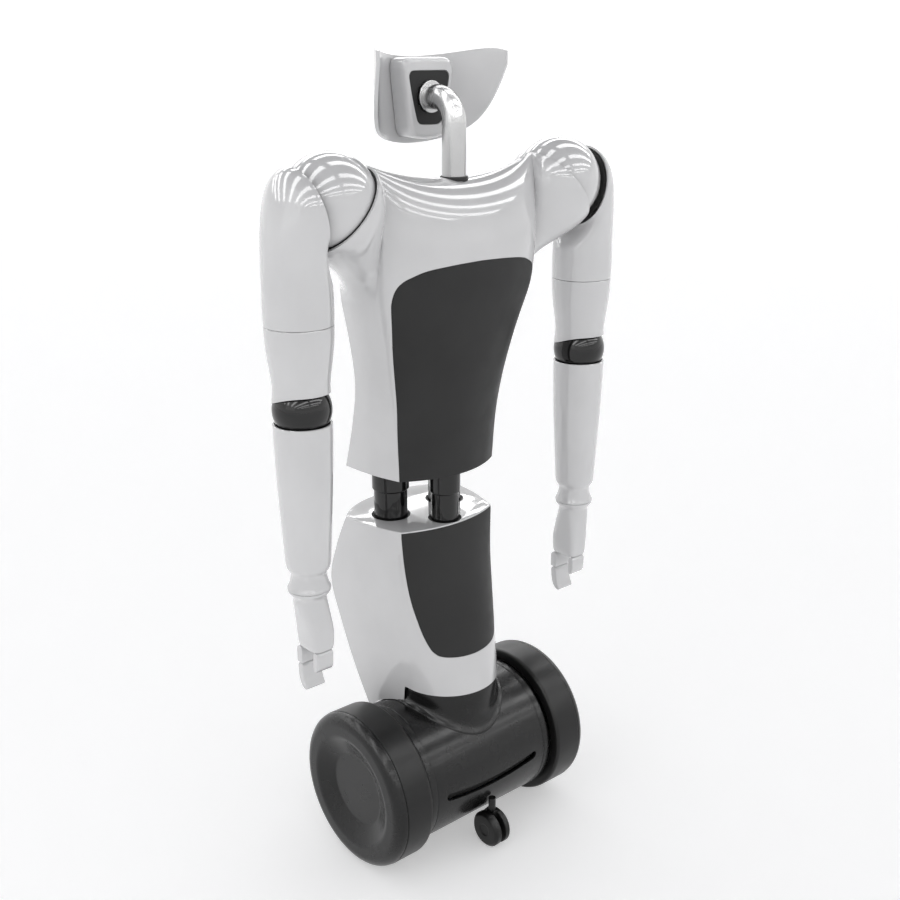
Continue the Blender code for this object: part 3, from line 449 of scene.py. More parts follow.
def inset(ring, distance):
    """Move each point of an anticlockwise level ring inward."""
    moved = []
    for i, point in enumerate(ring):
        after, before = ring[(i + 1) % len(ring)], ring[i - 1]
        along = Vector((after[0] - before[0], after[1] - before[1])).normalized()
        moved.append((point[0] - along.y * distance, point[1] + along.x * distance, point[2]))
    return moved


def body_outline(stations, key, counts):
    """Half of a body section from its front middle to its rear middle, at x >= 0."""
    front, side, rear = counts
    front_y, corner_x, corner_y, roundness, ridge_x, ridge_y, rear_y = spline_at(stations, key)
    half = []
    for i in range(front):
        u = i / front
        arc = u * math.pi / 2
        x = corner_x * blend(u, math.sin(arc), roundness)
        half.append((x, blend(front_y, corner_y, blend(u**2, 1 - math.cos(arc), roundness))))
    for i in range(side):
        u = i / side
        bulge = 0.006 * math.sin(math.pi * u)
        half.append((blend(corner_x, ridge_x, u) + bulge, blend(corner_y, ridge_y, u)))
    for i in range(rear + 1):
        u = i / rear
        x = ridge_x * blend(1 - u, math.cos(u * math.pi / 2), 0.35)
        half.append((x, blend(ridge_y, rear_y, 1 - (1 - u) ** 2)))
    return half


def whole_ring(half, z):
    right = [(x, y + AXLE.y, z) for x, y in half]
    left = [(-x, y + AXLE.y, z) for x, y in half[-2:0:-1]]
    return right + left


# Height above the foot, front middle y, front corner x and y, roundness of the front, ridge x and y, rear y
LEG_STATIONS = (
    (0.000, -0.096, 0.096, 0.000, 1.00, 0.108, 0.110, 0.135),
    (0.080, -0.096, 0.098, 0.000, 1.00, 0.117, 0.144, 0.172),
    (0.164, -0.078, 0.103, -0.002, 0.85, 0.125, 0.172, 0.203),
    (0.254, -0.060, 0.108, -0.002, 0.55, 0.133, 0.192, 0.224),
    (0.334, -0.041, 0.110, 0.000, 0.25, 0.1345, 0.167, 0.215),
    (0.4015, -0.026, 0.110, 0.000, 0.05, 0.138, 0.130, 0.187),
)
TORSO_STATIONS = (
    (0.000, -0.036, 0.1115, 0.000, 0.05, 0.130, 0.136, 0.190),
    (0.084, -0.042, 0.1175, -0.002, 0.15, 0.131, 0.112, 0.168),
    (0.164, -0.055, 0.1310, -0.006, 0.40, 0.1385, 0.090, 0.148),
    (0.244, -0.069, 0.1480, -0.014, 0.65, 0.1520, 0.084, 0.134),
    (0.314, -0.082, 0.1680, -0.020, 0.90, 0.1690, 0.080, 0.124),
)
LEG_PANEL = (
    (0.1095, 0.3985), (0.1056, 0.334), (0.1003, 0.272), (0.0925, 0.223), (0.0861, 0.194), (0.0792, 0.174),
    (0.0740, 0.166), (0.0676, 0.161), (0.0550, 0.1575), (0.030, 0.155), (0.0, 0.154),
)
TORSO_PANEL = (
    (0.0, 0.394), (0.0530, 0.392), (0.1060, 0.3865), (0.1340, 0.377), (0.1475, 0.369), (0.1555, 0.357),
    (0.1585, 0.339), (0.1565, 0.319), (0.1455, 0.268), (0.1240, 0.156), (0.1160, 0.080), (0.1105, -0.010),
)


def smooth_outline(points, steps=6):
    """A denser outline through the given points."""
    made = []
    for i in range(len(points) - 1):
        p0 = Vector(points[max(i - 1, 0)])
        p1, p2 = Vector(points[i]), Vector(points[i + 1])
        p3 = Vector(points[min(i + 2, len(points) - 1)])
        for k in range(steps):
            made.append(tuple(hermite(p1, (p2 - p0) / 2, p2, (p3 - p1) / 2, k / steps)))
    return made + [tuple(points[-1])]


def front_prism(name, half, foot, y_far, grow=0.0):
    """Extrude an outline along Y from in front of the body, given as its half at x >= 0."""
    half = smooth_outline(half)
    outline = list(half) + [(-x, z) for x, z in reversed(half) if x > 0]
    outline = inset([(x, z, 0) for x, z in outline], grow)
    rings = [[axle_point(x, y, z + foot) for x, z, _ in outline] for y in (-0.2, y_far)]
    return loft(name, rings)


# ---------------------------------------------------------------- base and wheels


def slot_bar(name, y_near, y_far, grow=0.0):
    """A bar that follows the slot's smile, between two depths."""
    steps = 32
    half, high = SLOT_HALF + grow, SLOT_H / 2 + grow
    edge = [(half * (2 * i / steps - 1), -1) for i in range(steps + 1)]
    ends = [math.pi * i / 10 - math.pi / 2 for i in range(1, 10)]
    edge += [(half + high * math.cos(t), math.sin(t)) for t in ends]
    edge += [(half * (1 - 2 * i / steps), 1) for i in range(steps + 1)]
    edge += [(-half - high * math.cos(t), -math.sin(t)) for t in ends]
    rings = []
    for y in (y_near, y_far):
        sags = [(x, SLOT_SAG * (x / SLOT_HALF) ** 2, v) for x, v in edge]
        rings.append([axle_point(x, y, SLOT_Z + sag + v * high) for x, sag, v in sags])
    return loft(name, rings)


def base():
    """The drum with its slot, the bar behind the slot and the end plates."""
    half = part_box("base_shell")[1].x
    centre = (0, AXLE.y, AXLE.z)
    wall = [(BASE_R - BASE_WALL, half), (BASE_R - 0.0030, half), (BASE_R, half - 0.0040)]
    wall += [(BASE_R, half - 0.0160)]
    wall += [(BASE_R - 0.0007, half - 0.0168), (BASE_R - 0.0007, half - 0.0180), (BASE_R, half - 0.0188)]
    mirrored = [(radius, -h) for radius, h in reversed(wall)]
    drum = lathe("drum", fillet(wall + mirrored + wall[:1], 0.0008, 3), centre, (1, 0, 0), 160)
    cut(drum, slot_bar("slot", -BASE_R - 0.01, -BASE_R + 0.07))
    show(drum, "base_shell")
    inside = -BASE_R + BASE_WALL
    show(slot_bar("bar", inside + 0.0085, inside + 0.0185, 0.004), "slot_sensor_bar")
    for side, name in SIDES:
        low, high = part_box(f"{name}_end_plate")
        middle = (low.x + high.x) / 2
        plate = fillet(ring_profile(0.0095, (high.z - low.z) / 2, -0.002, 0.002), 0.0008)
        show(lathe("plate", plate, (middle, AXLE.y, AXLE.z), (1, 0, 0)), f"{name}_end_plate")


def wheel(side, name):
    """A tyre drum and the cap over it, whose outer face has a dish round a flat disc."""
    tyre_low, tyre_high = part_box(f"{name}_tyre")
    hub_low, hub_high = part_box(f"{name}_hub")
    inner = min(abs(tyre_low.x), abs(tyre_high.x))
    seam = max(abs(tyre_low.x), abs(tyre_high.x))
    face = max(abs(hub_low.x), abs(hub_high.x))
    centre = (0, AXLE.y, AXLE.z)
    r = WHEEL_R
    tread = [(TYRE_BORE, seam), (r - 0.0004, seam), (r, seam - 0.0012), (r, inner + 0.0060)]
    tread += [(r - 0.0012, inner + 0.0020), (r - 0.0040, inner), (TYRE_BORE, inner), (TYRE_BORE, seam)]
    show(lathe("tyre", fillet(tread, 0.0016), centre, (side, 0, 0), 160), f"{name}_tyre")
    floor = face - DISH_DEPTH
    cap = [
        (0.0, floor), (0.0670, floor), (0.0700, floor + 0.0003), (0.1045, face - 0.0016),
        (0.1100, face - 0.0002), (0.1300, face - 0.0002), (0.1370, face - 0.0022), (0.1430, face - 0.0062),
        (0.1475, face - 0.0118), (0.1492, face - 0.0170),
        (0.1494, seam + 0.0010), (0.1482, seam + 0.0004), (0.1280, seam + 0.0004),
        (0.1280, inner + 0.003), (0.1220, inner + 0.003), (0.1220, face - 0.0255), (0.030, face - 0.0255),
        (0.030, 0.175), (0.0085, 0.175), (0.0085, face - 0.0215), (0.0, face - 0.0215),
    ]
    show(lathe("cap", fillet(cap, 0.0035, 6), centre, (side, 0, 0), 160), f"{name}_hub")


def caster(name):
    """Two discs with a groove between them, and the fork that holds them in the groove."""
    centre = JOINT_AT[f"{name}_caster_roll"]
    radius, half = centre.z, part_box(f"{name}_caster_wheel")[1].x
    groove, hub = 0.0055, 0.010
    side = [(0.0, half - 0.0014), (0.011, half - 0.0014), (0.0125, half), (radius - 0.0055, half),
            (radius, half - 0.0050), (radius, groove), (hub, groove)]
    spool = side + [(r, -h) for r, h in reversed(side)]
    show(lathe("spool", fillet(spool, 0.0012), centre, (1, 0, 0)), f"{name}_caster_wheel")
    thick = groove - 0.0008
    ring = fillet(ring_profile(0.0105, 0.0165, -thick, thick), 0.0008)
    plate = lathe("plate", ring, centre, (1, 0, 0))
    corners = ((-thick, -BLADE_HALF), (thick, -BLADE_HALF), (thick, BLADE_HALF), (-thick, BLADE_HALF))
    blade = loft("blade", [[Vector((x, centre.y + y, z)) for x, y in corners] for z in (0.049, 0.075)])
    stem = rod("stem", STEM_R, STEM_FOOT, STEM_TOP, (0, centre.y, 0), steps=48)
    boolean(plate, blade, "UNION")
    boolean(plate, stem, "UNION")
    show(plate, f"{name}_caster_fork")


# ---------------------------------------------------------------- leg and columns


def collar():
    """A sleeve that flares out where it meets the drum."""
    top, radius, count = COLLAR_TOP, COLLAR_R, 144
    rows = [(0.060, top - 0.006, 1), (0.0885, top - 0.006, 1), (0.0890, top - 0.001, 1), (0.0900, top, 1),
            (0.0925, top, 1), (0.0942, top - 0.0008, 1), (radius, top - 0.0025, 1)]
    flare = ((0, 0.022), (0.0006, 0.014), (0.0020, 0.0085), (0.0045, 0.0050), (0.0080, 0.0032),
             (0.0105, 0.0028), (0.0120, 0.0020), (0.0124, -0.003))
    rows += [(radius + r, h, 0) for r, h in flare]
    rings = []
    for r, h, level in rows:
        ring = []
        for k in range(count):
            turn = math.tau * k / count
            x, y = r * math.cos(turn), r * math.sin(turn)
            drum = AXLE.z + math.sqrt(BASE_R**2 - min(abs(y), BASE_R * 0.999) ** 2)
            ring.append(axle_point(x, y, h if level else drum + h))
        rings.append(ring)
    show(loft("collar", rings), "leg_collar", 50)


def leg_wall(name, inward, outward=0.0):
    """The leg's cover as a wall, closed on top and open below."""
    rows, counts, edge = 44, (22, 12, 18), 0.0022
    height = LEG_TOP - LEG_FOOT
    keys = [height * i / rows for i in range(rows)]
    section = [whole_ring(body_outline(LEG_STATIONS, key, counts), LEG_FOOT + key) for key in keys]
    top = whole_ring(body_outline(LEG_STATIONS, height, counts), LEG_TOP)
    inner = [inset(ring, inward) for ring in section]
    outer = [inset(ring, -outward) for ring in section]
    inner.append([(x, y, LEG_TOP - inward) for x, y, _ in inset(top, inward)])
    for k in range(5):
        turn = math.pi / 2 * k / 4
        back, drop = edge * (1 - math.cos(turn)) - outward, edge * (1 - math.sin(turn)) - outward
        outer.append([(x, y, LEG_TOP - drop) for x, y, _ in inset(top, back)])
    return loft(name, inner[::-1] + outer)


def leg():
    """The leg's cover with its panel, and the columns that pass through its top in bushings."""
    shell = leg_wall("leg", LEG_WALL)
    pocket = front_prism("pocket", LEG_PANEL, LEG_FOOT, POCKET_REACH, PANEL_GAP)
    boolean(pocket, leg_wall("depth", PANEL_T + PANEL_GAP, 0.003), "INTERSECT")
    cut(shell, pocket)
    cut(shell, rod("cut", COLLAR_ROOM, 0.20, COLLAR_TOP + 0.0008, (0, AXLE.y, 0)))
    cut(shell, rod("cut", BASE_R + 0.0012, -0.16, 0.16, (0, AXLE.y, AXLE.z), (1, 0, 0)))
    columns = (("left", -SIDE_COL[0], *SIDE_COL[1:]), ("right", *SIDE_COL), ("centre", *MID_COL))
    for name, x, y, radius, sleeve, hole in columns:
        centre = (x, y + AXLE.y, 0)
        cut(shell, rod("cut", hole, *HOLE_SPAN, centre))
        low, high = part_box(f"{name}_bushing")
        bushing = fillet(ring_profile(radius + HAIR, hole - 0.0004, low.z, high.z), 0.0010)
        show(lathe("bushing", bushing, centre), f"{name}_bushing")
        tube = [
            (radius - 0.004, COLUMN_TOP), (sleeve, COLUMN_TOP), (sleeve, SLEEVE_Z + 0.0022),
            (sleeve - 0.0008, SLEEVE_Z + 0.0010), (radius, SLEEVE_Z - 0.0006), (radius, COLUMN_FOOT),
            (radius - 0.004, COLUMN_FOOT), (radius - 0.004, COLUMN_TOP),
        ]
        show(lathe("column", fillet(tube, 0.0010), centre), f"{name}_column")
    show(shell, "leg_shell", 38)
    panel = leg_wall("panel", PANEL_T)
    boolean(panel, front_prism("edge", LEG_PANEL, LEG_FOOT, PANEL_REACH), "INTERSECT")
    show(panel, "leg_panel", 38)


# ---------------------------------------------------------------- torso


def cup_frame(angle):
    """The way a shoulder cup faces on the right side, and the direction up along its rim."""
    facing = Vector((math.cos(angle), 0, math.sin(angle)))
    return facing, Vector((-facing.z, 0, facing.x))


def shoulder_end(index, last):
    """Where a torso column ends, its slope there, and how far it has turned from the crest to the cup."""
    facing, up = cup_frame(CUP_ANGLE)
    centre = SHOULDER - facing * CUP_BACK
    crest_end = centre + up * CUP_RIM_R
    front = index <= CREST_STEPS
    if front or index >= last - CREST_STEPS:
        step = index if front else last - index
        x = crest_end.x * step / CREST_STEPS
        rise = CREST_RISE * (abs(x) / 0.189) ** 2.2
        over = Vector((0, 0.22 if front else -0.22, 0.02))
        weight = CREST_TURN * (step / CREST_STEPS) ** 3
        back = 0.004 * (1 - (step / CREST_STEPS) ** 6)
        return Vector((x, crest_end.y - back, CREST_Z + rise)), over.lerp(facing * 0.15, weight), weight
    turn = math.tau * (index - CREST_STEPS) / (last - 2 * CREST_STEPS)
    point = centre + CUP_RIM_R * (math.cos(turn) * up - math.sin(turn) * Vector((0, 1, 0)))
    weight = blend(CREST_TURN, 1.0, min(1.0, min(turn, math.tau - turn) / CREST_REACH))
    over = Vector((0, math.copysign(0.22, math.sin(turn)), 0.02))
    return point, over.lerp(facing * 0.15, weight), weight


def torso_surface(skirt):
    """Points and faces of the torso's cover, open at the bottom and at both shoulder cups."""
    keys = [CHEST * i / TORSO_ROWS for i in range(TORSO_ROWS + 1)]
    if skirt:
        keys.insert(0, -skirt)
    halves = [body_outline(TORSO_STATIONS, key, TORSO_COUNTS) for key in keys]
    last = len(halves[0]) - 1
    rows = [[axle_point(x, y, TORSO_FOOT + key) for x, y in half] for half, key in zip(halves, keys)]
    below = body_outline(TORSO_STATIONS, CHEST - 0.01, TORSO_COUNTS)
    for row in range(1, SHOULDER_ROWS + 1):
        t = row / SHOULDER_ROWS
        points = []
        for i in range(last + 1):
            x, y = halves[-1][i]
            end, slope, weight = shoulder_end(i, last)
            rise = blend(0.28, 0.20, weight)
            lean = Vector(((x - below[i][0]) / 0.01, (y - below[i][1]) / 0.01, 1)) * rise
            point = hermite(axle_point(x, y, TORSO_FOOT + CHEST), lean, end, slope, t)
            points.append(Vector((0.0 if i in (0, last) else point.x, point.y, point.z)))
        rows.append(points)
    points, faces = [], []
    for sign in (1, -1):
        start = len(points)
        points += [Vector((sign * p.x, p.y, p.z)) for row in rows for p in row]
        width = last + 1
        for row in range(len(rows) - 1):
            for i in range(last):
                a = start + row * width + i
                quad = (a, a + 1, a + width + 1, a + width)
                faces.append(quad if sign > 0 else quad[::-1])
    return points, faces


def torso_wall(name, inward, outward=0.0, skirt=0.0):
    obj = new_object(name, *torso_surface(skirt))
    solidify = obj.modifiers.new("Wall", "SOLIDIFY")
    solidify.thickness = inward + outward
    solidify.offset = (outward - inward) / (inward + outward)
    solidify.use_even_offset = True
    return settle(obj)


def torso():
    """The torso's cover with its panel, dark rings in the shoulder cups that are painted shade for the gap round
    each ball, and the neck's ring.
    """
    shell = torso_wall("torso", TORSO_WALL)
    facing = cup_frame(CUP_ANGLE)[0]
    for side, name in SIDES:
        centre = Vector((side * SHOULDER.x, SHOULDER.y, SHOULDER.z))
        cut(shell, lathe("room", ball_profile(BALL_R + 0.0034), centre, (0, 1, 0), 96))
    cut(shell, rod("cut", NECK_HOLE_R, 1.20, 1.30, (0, NECK.y, 0)))
    pocket = front_prism("pocket", TORSO_PANEL, TORSO_FOOT, POCKET_REACH, PANEL_GAP)
    boolean(pocket, torso_wall("depth", PANEL_T + PANEL_GAP, 0.003, 0.005), "INTERSECT")
    cut(shell, pocket)
    show(shell, "torso_shell", 38)
    panel = torso_wall("panel", PANEL_T)
    boolean(panel, front_prism("edge", TORSO_PANEL, TORSO_FOOT, PANEL_REACH), "INTERSECT")
    show(panel, "torso_panel", 38)
    for side, name in SIDES:
        centre = Vector((side * SHOULDER.x, SHOULDER.y, SHOULDER.z))
        axis = (side * facing.x, 0, facing.z)
        # Painted shade: a dark ring fills the thin gap between the ball and the torso's cup and stands for the
        # shadow in that gap.
        zone = zone_profile(BALL_R + 0.0010, BALL_R + 0.0024, -0.042, 0.0012 - CUP_BACK)
        show(lathe("ring", zone, centre, axis), f"{name}_socket_ring")
    neck_low, neck_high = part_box("neck_ring")
    ring = fillet(ring_profile(PIPE_R + HAIR, NECK_HOLE_R - HAIR, neck_low.z, neck_high.z + 0.0006), 0.0008)
    show(lathe("ring", ring, (0, NECK.y, 0)), "neck_ring")


def zone_profile(inner, outer, low, high, steps=12):
    """A ring between two balls on one centre, cut at two heights."""
    heights = [high + (low - high) * i / steps for i in range(steps + 1)]
    outside = [(math.sqrt(outer**2 - h**2), h) for h in heights]
    inside = [(math.sqrt(inner**2 - h**2), h) for h in reversed(heights)]
    return outside + inside + outside[:1]


# ---------------------------------------------------------------- arms


def arm_tube(side):
    """Rings of the upper arm from its seam up to the rim of its shoulder cup."""
    facing, up = cup_frame(ARM_CUP_ANGLE)
    rim = SHOULDER + facing * ARM_CUP_OUT
    steps, rows = 96, 28
    turns = [math.tau * i / steps for i in range(steps)]
    rings = []
    start_z, straight_z = SEAM.z + 0.0004, SEAM.z + 0.056
    for k in range(5):
        bend = math.pi / 2 * k / 4
        radius = ARM_R - 0.0009 * (1 - math.sin(bend))
        z = start_z + 0.0009 * (1 - math.cos(bend))
        rings.append([(SEAM.x + radius * math.cos(t), SEAM.y + radius * math.sin(t), z) for t in turns])
    for k in range(1, 7):
        z = blend(start_z + 0.001, straight_z, k / 6)
        radius = ARM_R + 0.0007 * math.sin(math.pi * k / 6)
        rings.append([(SEAM.x + radius * math.cos(t), SEAM.y + radius * math.sin(t), z) for t in turns])
    base_ring = rings[-1]
    for row in range(1, rows + 1):
        ring = []
        for i, turn in enumerate(turns):
            outer = (1 + math.cos(turn)) / 2
            end = rim + ARM_CUP_R * (math.cos(turn) * up + math.sin(turn) * Vector((0, 1, 0)))
            slope = -facing * blend(0.0, 0.13, outer) + Vector((0, 0, 0.05 * (1 - outer)))
            rise = Vector((0, 0, blend(0.04, 0.22, outer)))
            ring.append(tuple(hermite(base_ring[i], rise, end, slope, row / rows)))
        rings.append(ring)
    return [[(side * x, y, z) for x, y, z in ring[::side]] for ring in rings]


def shoulder(side, name):
    """A ball, the liner of the arm's cup, and the upper arm."""
    centre = Vector((side * SHOULDER.x, SHOULDER.y, SHOULDER.z))
    facing = cup_frame(ARM_CUP_ANGLE)[0]
    axis = (side * facing.x, 0, facing.z)
    ball = lathe("ball", ball_profile(BALL_R, 72), centre, (0, 0, 1), 128)
    shaft = rod("shaft", 0.012, -0.094, -0.05, centre, (side, 0, 0), 48)
    show(boolean(ball, shaft, "UNION"), f"{name}_shoulder_ball")
    zone = zone_profile(BALL_R + 0.0010, BALL_R + LINER_T, ARM_CUP_OUT + 0.0002, 0.068)
    show(lathe("liner", zone, centre, axis), f"{name}_shoulder_liner")
    arm = loft("arm", arm_tube(side), top=False)
    solidify = arm.modifiers.new("Wall", "SOLIDIFY")
    solidify.thickness = ARM_WALL
    solidify.offset = -1.0
    solidify.use_even_offset = True
    settle(arm)
    cut(arm, lathe("room", ball_profile(BALL_R + LINER_T + 0.0009), centre, axis, 96, spin=0.02))
    show(arm, f"{name}_upper_arm", 40)


def sleeve_cutter(x, y):
    """Everything under the sleeve's lower edge, which runs as an S from low at the rear to high in front."""
    reach, rings = 0.07, []
    for i in range(49):
        v = i / 24 - 1
        high = ELBOW.z + 0.0193 - 0.010 * math.sin(max(-1, min(1, v * 1.5)) * math.pi / 2)
        corners = ((-reach, 0.85), (-reach, high), (reach, high), (reach, 0.85))
        rings.append([(x + dx, y + v * reach, z) for dx, z in corners])
    return loft("edge", rings)


def lower_arm(side, name):
    """The sleeve under the arm's seam, the elbow's ball and the forearm with its waist at the wrist."""
    x, y = side * SEAM.x, SEAM.y
    top, bore = SEAM.z - HAIR, 0.015
    outer = [(ARM_R - 0.0008, top), (ARM_R, top - 0.0010)]
    high, low = SLEEVE_SHAPE[-1][0], SLEEVE_SHAPE[0][0]
    levels = [high - (high - low) * k / 40 for k in range(41)]
    outer += [(spline_at(SLEEVE_SHAPE, z)[0], z) for z in levels]
    inner = [(r - SLEEVE_WALL, z) for r, z in reversed(outer[2:])]
    profile = [(bore, top)] + outer + inner
    profile += [(ARM_R - SLEEVE_WALL, top - 0.004), (bore, top - 0.004), (bore, top)]
    sleeve = lathe("sleeve", profile, (x, y, 0))
    elbow = Vector((side * ELBOW.x, ELBOW.y, ELBOW.z))
    cut(sleeve, lathe("room", ball_profile(ELBOW_R + 0.0012), elbow, (1, 0, 0), 96, spin=0.02))
    cut(sleeve, sleeve_cutter(x, y))
    show(sleeve, f"{name}_arm_sleeve")
    show(lathe("ball", ball_profile(ELBOW_R), elbow, (1, 0, 0), 96), f"{name}_elbow_ball")
    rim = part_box(f"{name}_forearm")[1].z
    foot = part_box(f"{name}_forearm")[0].z
    tube = [(FOREARM_R - 0.0035, rim), (FOREARM_R - 0.0010, rim), (FOREARM_R, rim - 0.0010)]
    levels = [rim - 0.002 - (rim - 0.656) * k / 24 for k in range(25)]
    tube += [(spline_at(FOREARM_SHAPE, z)[0], z) for z in levels]
    tube += [
        (0.0384, 0.649), (0.0378, 0.6445), (0.0366, 0.6405), (0.0347, 0.6372), (0.0328, 0.6345),
        (0.0314, 0.6318), (0.0306, 0.6282), (0.0307, 0.6240), (0.0315, 0.6190), (0.0328, 0.6140),
        (0.0344, 0.6096), (0.0358, 0.6066), (0.0368, 0.6048), (0.0372, 0.6034), (0.0372, foot + 0.0004),
        (0.0366, foot), (0.010, foot), (0.010, 0.622), (0.027, 0.640), (0.035, 0.656), (0.0420, 0.780),
        (FOREARM_R - 0.0035, 0.870), (FOREARM_R - 0.0035, rim),
    ]
    show(lathe("forearm", tube, (x, y, 0)), f"{name}_forearm")


# ---------------------------------------------------------------- hands


def palm(side, name):
    """A hand's body: round at the wrist, and nearly square where the fingers start."""
    x, y = side * WRIST.x, WRIST.y
    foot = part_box(f"{name}_palm")[0].z
    # Height, shift toward the body, half width along X and Y, squareness
    stations = (
        (foot, 0.0095, 0.0225, 0.0305, 4.0),
        (0.520, 0.0088, 0.0243, 0.0315, 4.0),
        (0.550, 0.005, 0.0262, 0.0300, 3.0),
        (0.575, 0.001, 0.0285, 0.0290, 2.2),
        (0.587, 0.000, 0.0293, 0.0293, 2.0),
        (0.594, 0.000, 0.0340, 0.0340, 2.0),
        (WRIST.z - 0.0030, 0.000, 0.0366, 0.0366, 2.0),
        (WRIST.z - HAIR, 0.000, 0.0366, 0.0366, 2.0),
    )
    rings, rows, steps = [], 36, 96
    for row in range(rows + 1):
        z = blend(foot, WRIST.z - HAIR, row / rows)
        shift, half_x, half_y, power = spline_at(stations, z)
        edge = min(1.0, row / 1.5)
        half_x, half_y = half_x - 0.0012 * (1 - edge), half_y - 0.0012 * (1 - edge)
        ring = []
        for k in range(steps):
            turn = math.tau * k / steps
            c, s = math.cos(turn), math.sin(turn)
            dx = math.copysign(abs(c) ** (2 / power), c) * half_x
            dy = math.copysign(abs(s) ** (2 / power), s) * half_y
            ring.append((x - side * shift + dx, y + dy, z))
        rings.append(ring)
    show(loft("palm", rings), f"{name}_palm", 40)


def side_prism(outline, low, high, bend=0.0022):
    """Extrude a (y, z) outline along X and round its edges."""
    rings = [[(x, y, z) for y, z in outline] for x in (low, high)]
    obj = loft("prism", rings)
    bevel = obj.modifiers.new("Round", "BEVEL")
    bevel.width = bend
    bevel.segments = 4
    bevel.limit_method = "ANGLE"
    bevel.angle_limit = math.radians(50)
    bevel.use_clamp_overlap = True
    return obj


def arc(y, z, radius, start, end, steps):
    """Points of an arc about (y, z), between two angles in degrees."""
    turns = [math.radians(start + (end - start) * i / steps) for i in range(steps + 1)]
    return [(y + radius * math.cos(t), z + radius * math.sin(t)) for t in turns]


def fingers(side, name):
    """The finger, its curled tip and the thumb, as outlines seen from the side."""
    low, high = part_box(f"{name}_finger")
    knuckle_y, knuckle_z, radius = KNUCKLE.y, KNUCKLE.z, (high.y - low.y) / 2
    finger = arc(knuckle_y, knuckle_z, radius, 0, 180, 18)
    finger += [(knuckle_y - radius, low.z), (knuckle_y + radius, low.z)]
    show(side_prism(finger, low.x, high.x), f"{name}_finger", 50)
    low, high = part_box(f"{name}_fingertip")
    y, z = TIP_JOINT.y, TIP_JOINT.z
    tip = arc(y, z, radius - 0.0005, 0, 180, 18)
    curl = [
        (y - radius - 0.001, z - 0.0167), (y - 0.0108, z - 0.0235), (y - 0.013, z - 0.0287),
        (y - 0.0155, z - 0.0330), (y - 0.017, z - 0.0367), (y - 0.0160, z - 0.0402), (y - 0.012, z - 0.0412),
        (y - 0.0065, z - 0.0392), (y - 0.002, z - 0.0357), (y + 0.0020, z - 0.0300), (y + 0.005, z - 0.0227),
        (y + 0.0068, z - 0.0120),
    ]
    show(side_prism(tip + curl, low.x, high.x), f"{name}_fingertip", 50)
    low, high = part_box(f"{name}_thumb")
    y, z, radius = THUMB.y, THUMB.z, THUMB_R
    thumb = arc(y, z, radius, 0, 180, 18)
    thumb += [(y - 0.0062, z - 0.012), (y - 0.0045, z - 0.0235), (y - 0.0015, z - 0.0290)]
    thumb += [(y + 0.0025, z - 0.0300), (y + 0.0055, z - 0.0285), (y + 0.0067, z - 0.0250)]
    show(side_prism(thumb, low.x, high.x, 0.0016), f"{name}_thumb", 50)


# ---------------------------------------------------------------- neck and head


def sweep(name, path, radius, steps=64):
    """A round tube along a path in the plane x = 0."""
    rings, side = [], Vector((1, 0, 0))
    turns = [math.tau * k / steps for k in range(steps)]
    for i, (y, z) in enumerate(path):
        before, after = path[max(i - 1, 0)], path[min(i + 1, len(path) - 1)]
        along = Vector((0, after[0] - before[0], after[1] - before[1])).normalized()
        across = side.cross(along)
        centre = Vector((0, y, z))
        rings.append([centre + radius * (math.cos(t) * side + math.sin(t) * across) for t in turns])
    return loft(name, rings)


def neck():
    """The bent pipe with the flange and the knob that the head tilts on."""
    bend_z = HEAD.z - BEND_R
    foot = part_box("neck_pipe")[0].z
    path = [(NECK.y, foot), (NECK.y, blend(foot, bend_z, 0.5)), (NECK.y, bend_z - 0.002)]
    path += arc(NECK.y + BEND_R, bend_z, BEND_R, 180, 90, 28)
    path += [(HEAD.y - 0.030, HEAD.z), (HEAD.y - 0.014, HEAD.z)]
    pipe = sweep("pipe", path, PIPE_R)
    flange = fillet(ring_profile(PIPE_R - 0.003, PIPE_R + 0.0060, -0.0275, -0.0235), 0.0010)
    boolean(pipe, lathe("flange", flange, HEAD, (0, 1, 0)), "UNION")
    knob = [(0.0, 0.016), (0.0115, 0.0112), (0.016, 0.0), (0.0115, -0.0112)]
    knob += [(0.0115, -0.020), (0.0, -0.020)]
    boolean(pipe, lathe("knob", fillet(knob, 0.002), HEAD, (0, 1, 0)), "UNION")
    show(pipe, "neck_pipe")


def head_outline(half):
    """A closed outline, from the few points of its half at x >= 0."""
    half = smooth_outline(half, 5)
    return half + [(-x, z) for x, z in reversed(half[1:-1])]


def head():
    """The housing with its dark panel and the socket of the pipe, and the visor in front of it."""
    back_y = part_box("head_housing")[0].y
    full, middle = head_outline(HOUSING_HALF), HEAD_MIDDLE_Z
    rings = []
    for k in range(9):
        turn = math.pi / 2 * k / 8
        scale = 0.86 + 0.14 * math.sin(turn)
        depth = back_y + 0.013 * (1 - math.cos(turn))
        rings.append([(x * scale, depth, middle + (z - middle) * scale) for x, z in full])
    rings.append([(x, back_y + 0.065, z) for x, z in full])
    housing = loft("housing", rings)
    axis_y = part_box("visor")[1].y - VISOR_R
    inside = rod("inside", VISOR_R - VISOR_T - 0.0012, 1.25, 1.50, (0, axis_y, 0), steps=256)
    boolean(housing, inside, "INTERSECT")
    full = head_outline(BACK_PANEL_HALF)
    grown = [(x * 1.02, middle + (z - middle) * 1.02) for x, z in full]
    pocket = loft("pocket", [[(x, y, z) for x, z in grown] for y in (back_y - 0.02, back_y + 0.0042)])
    cut(housing, pocket, rod("socket", 0.0285, -0.03, 0.018, HEAD, (0, 1, 0)))
    show(housing, "head_housing", 40)
    panel = loft("panel", [[(x, y, z) for x, z in full] for y in (back_y + 0.0010, back_y + 0.0038)])
    cut(panel, rod("cut", PIPE_R + 0.0058, -0.05, 0.05, HEAD, (0, 1, 0)))
    show(panel, "head_back_panel")
    visor(axis_y)


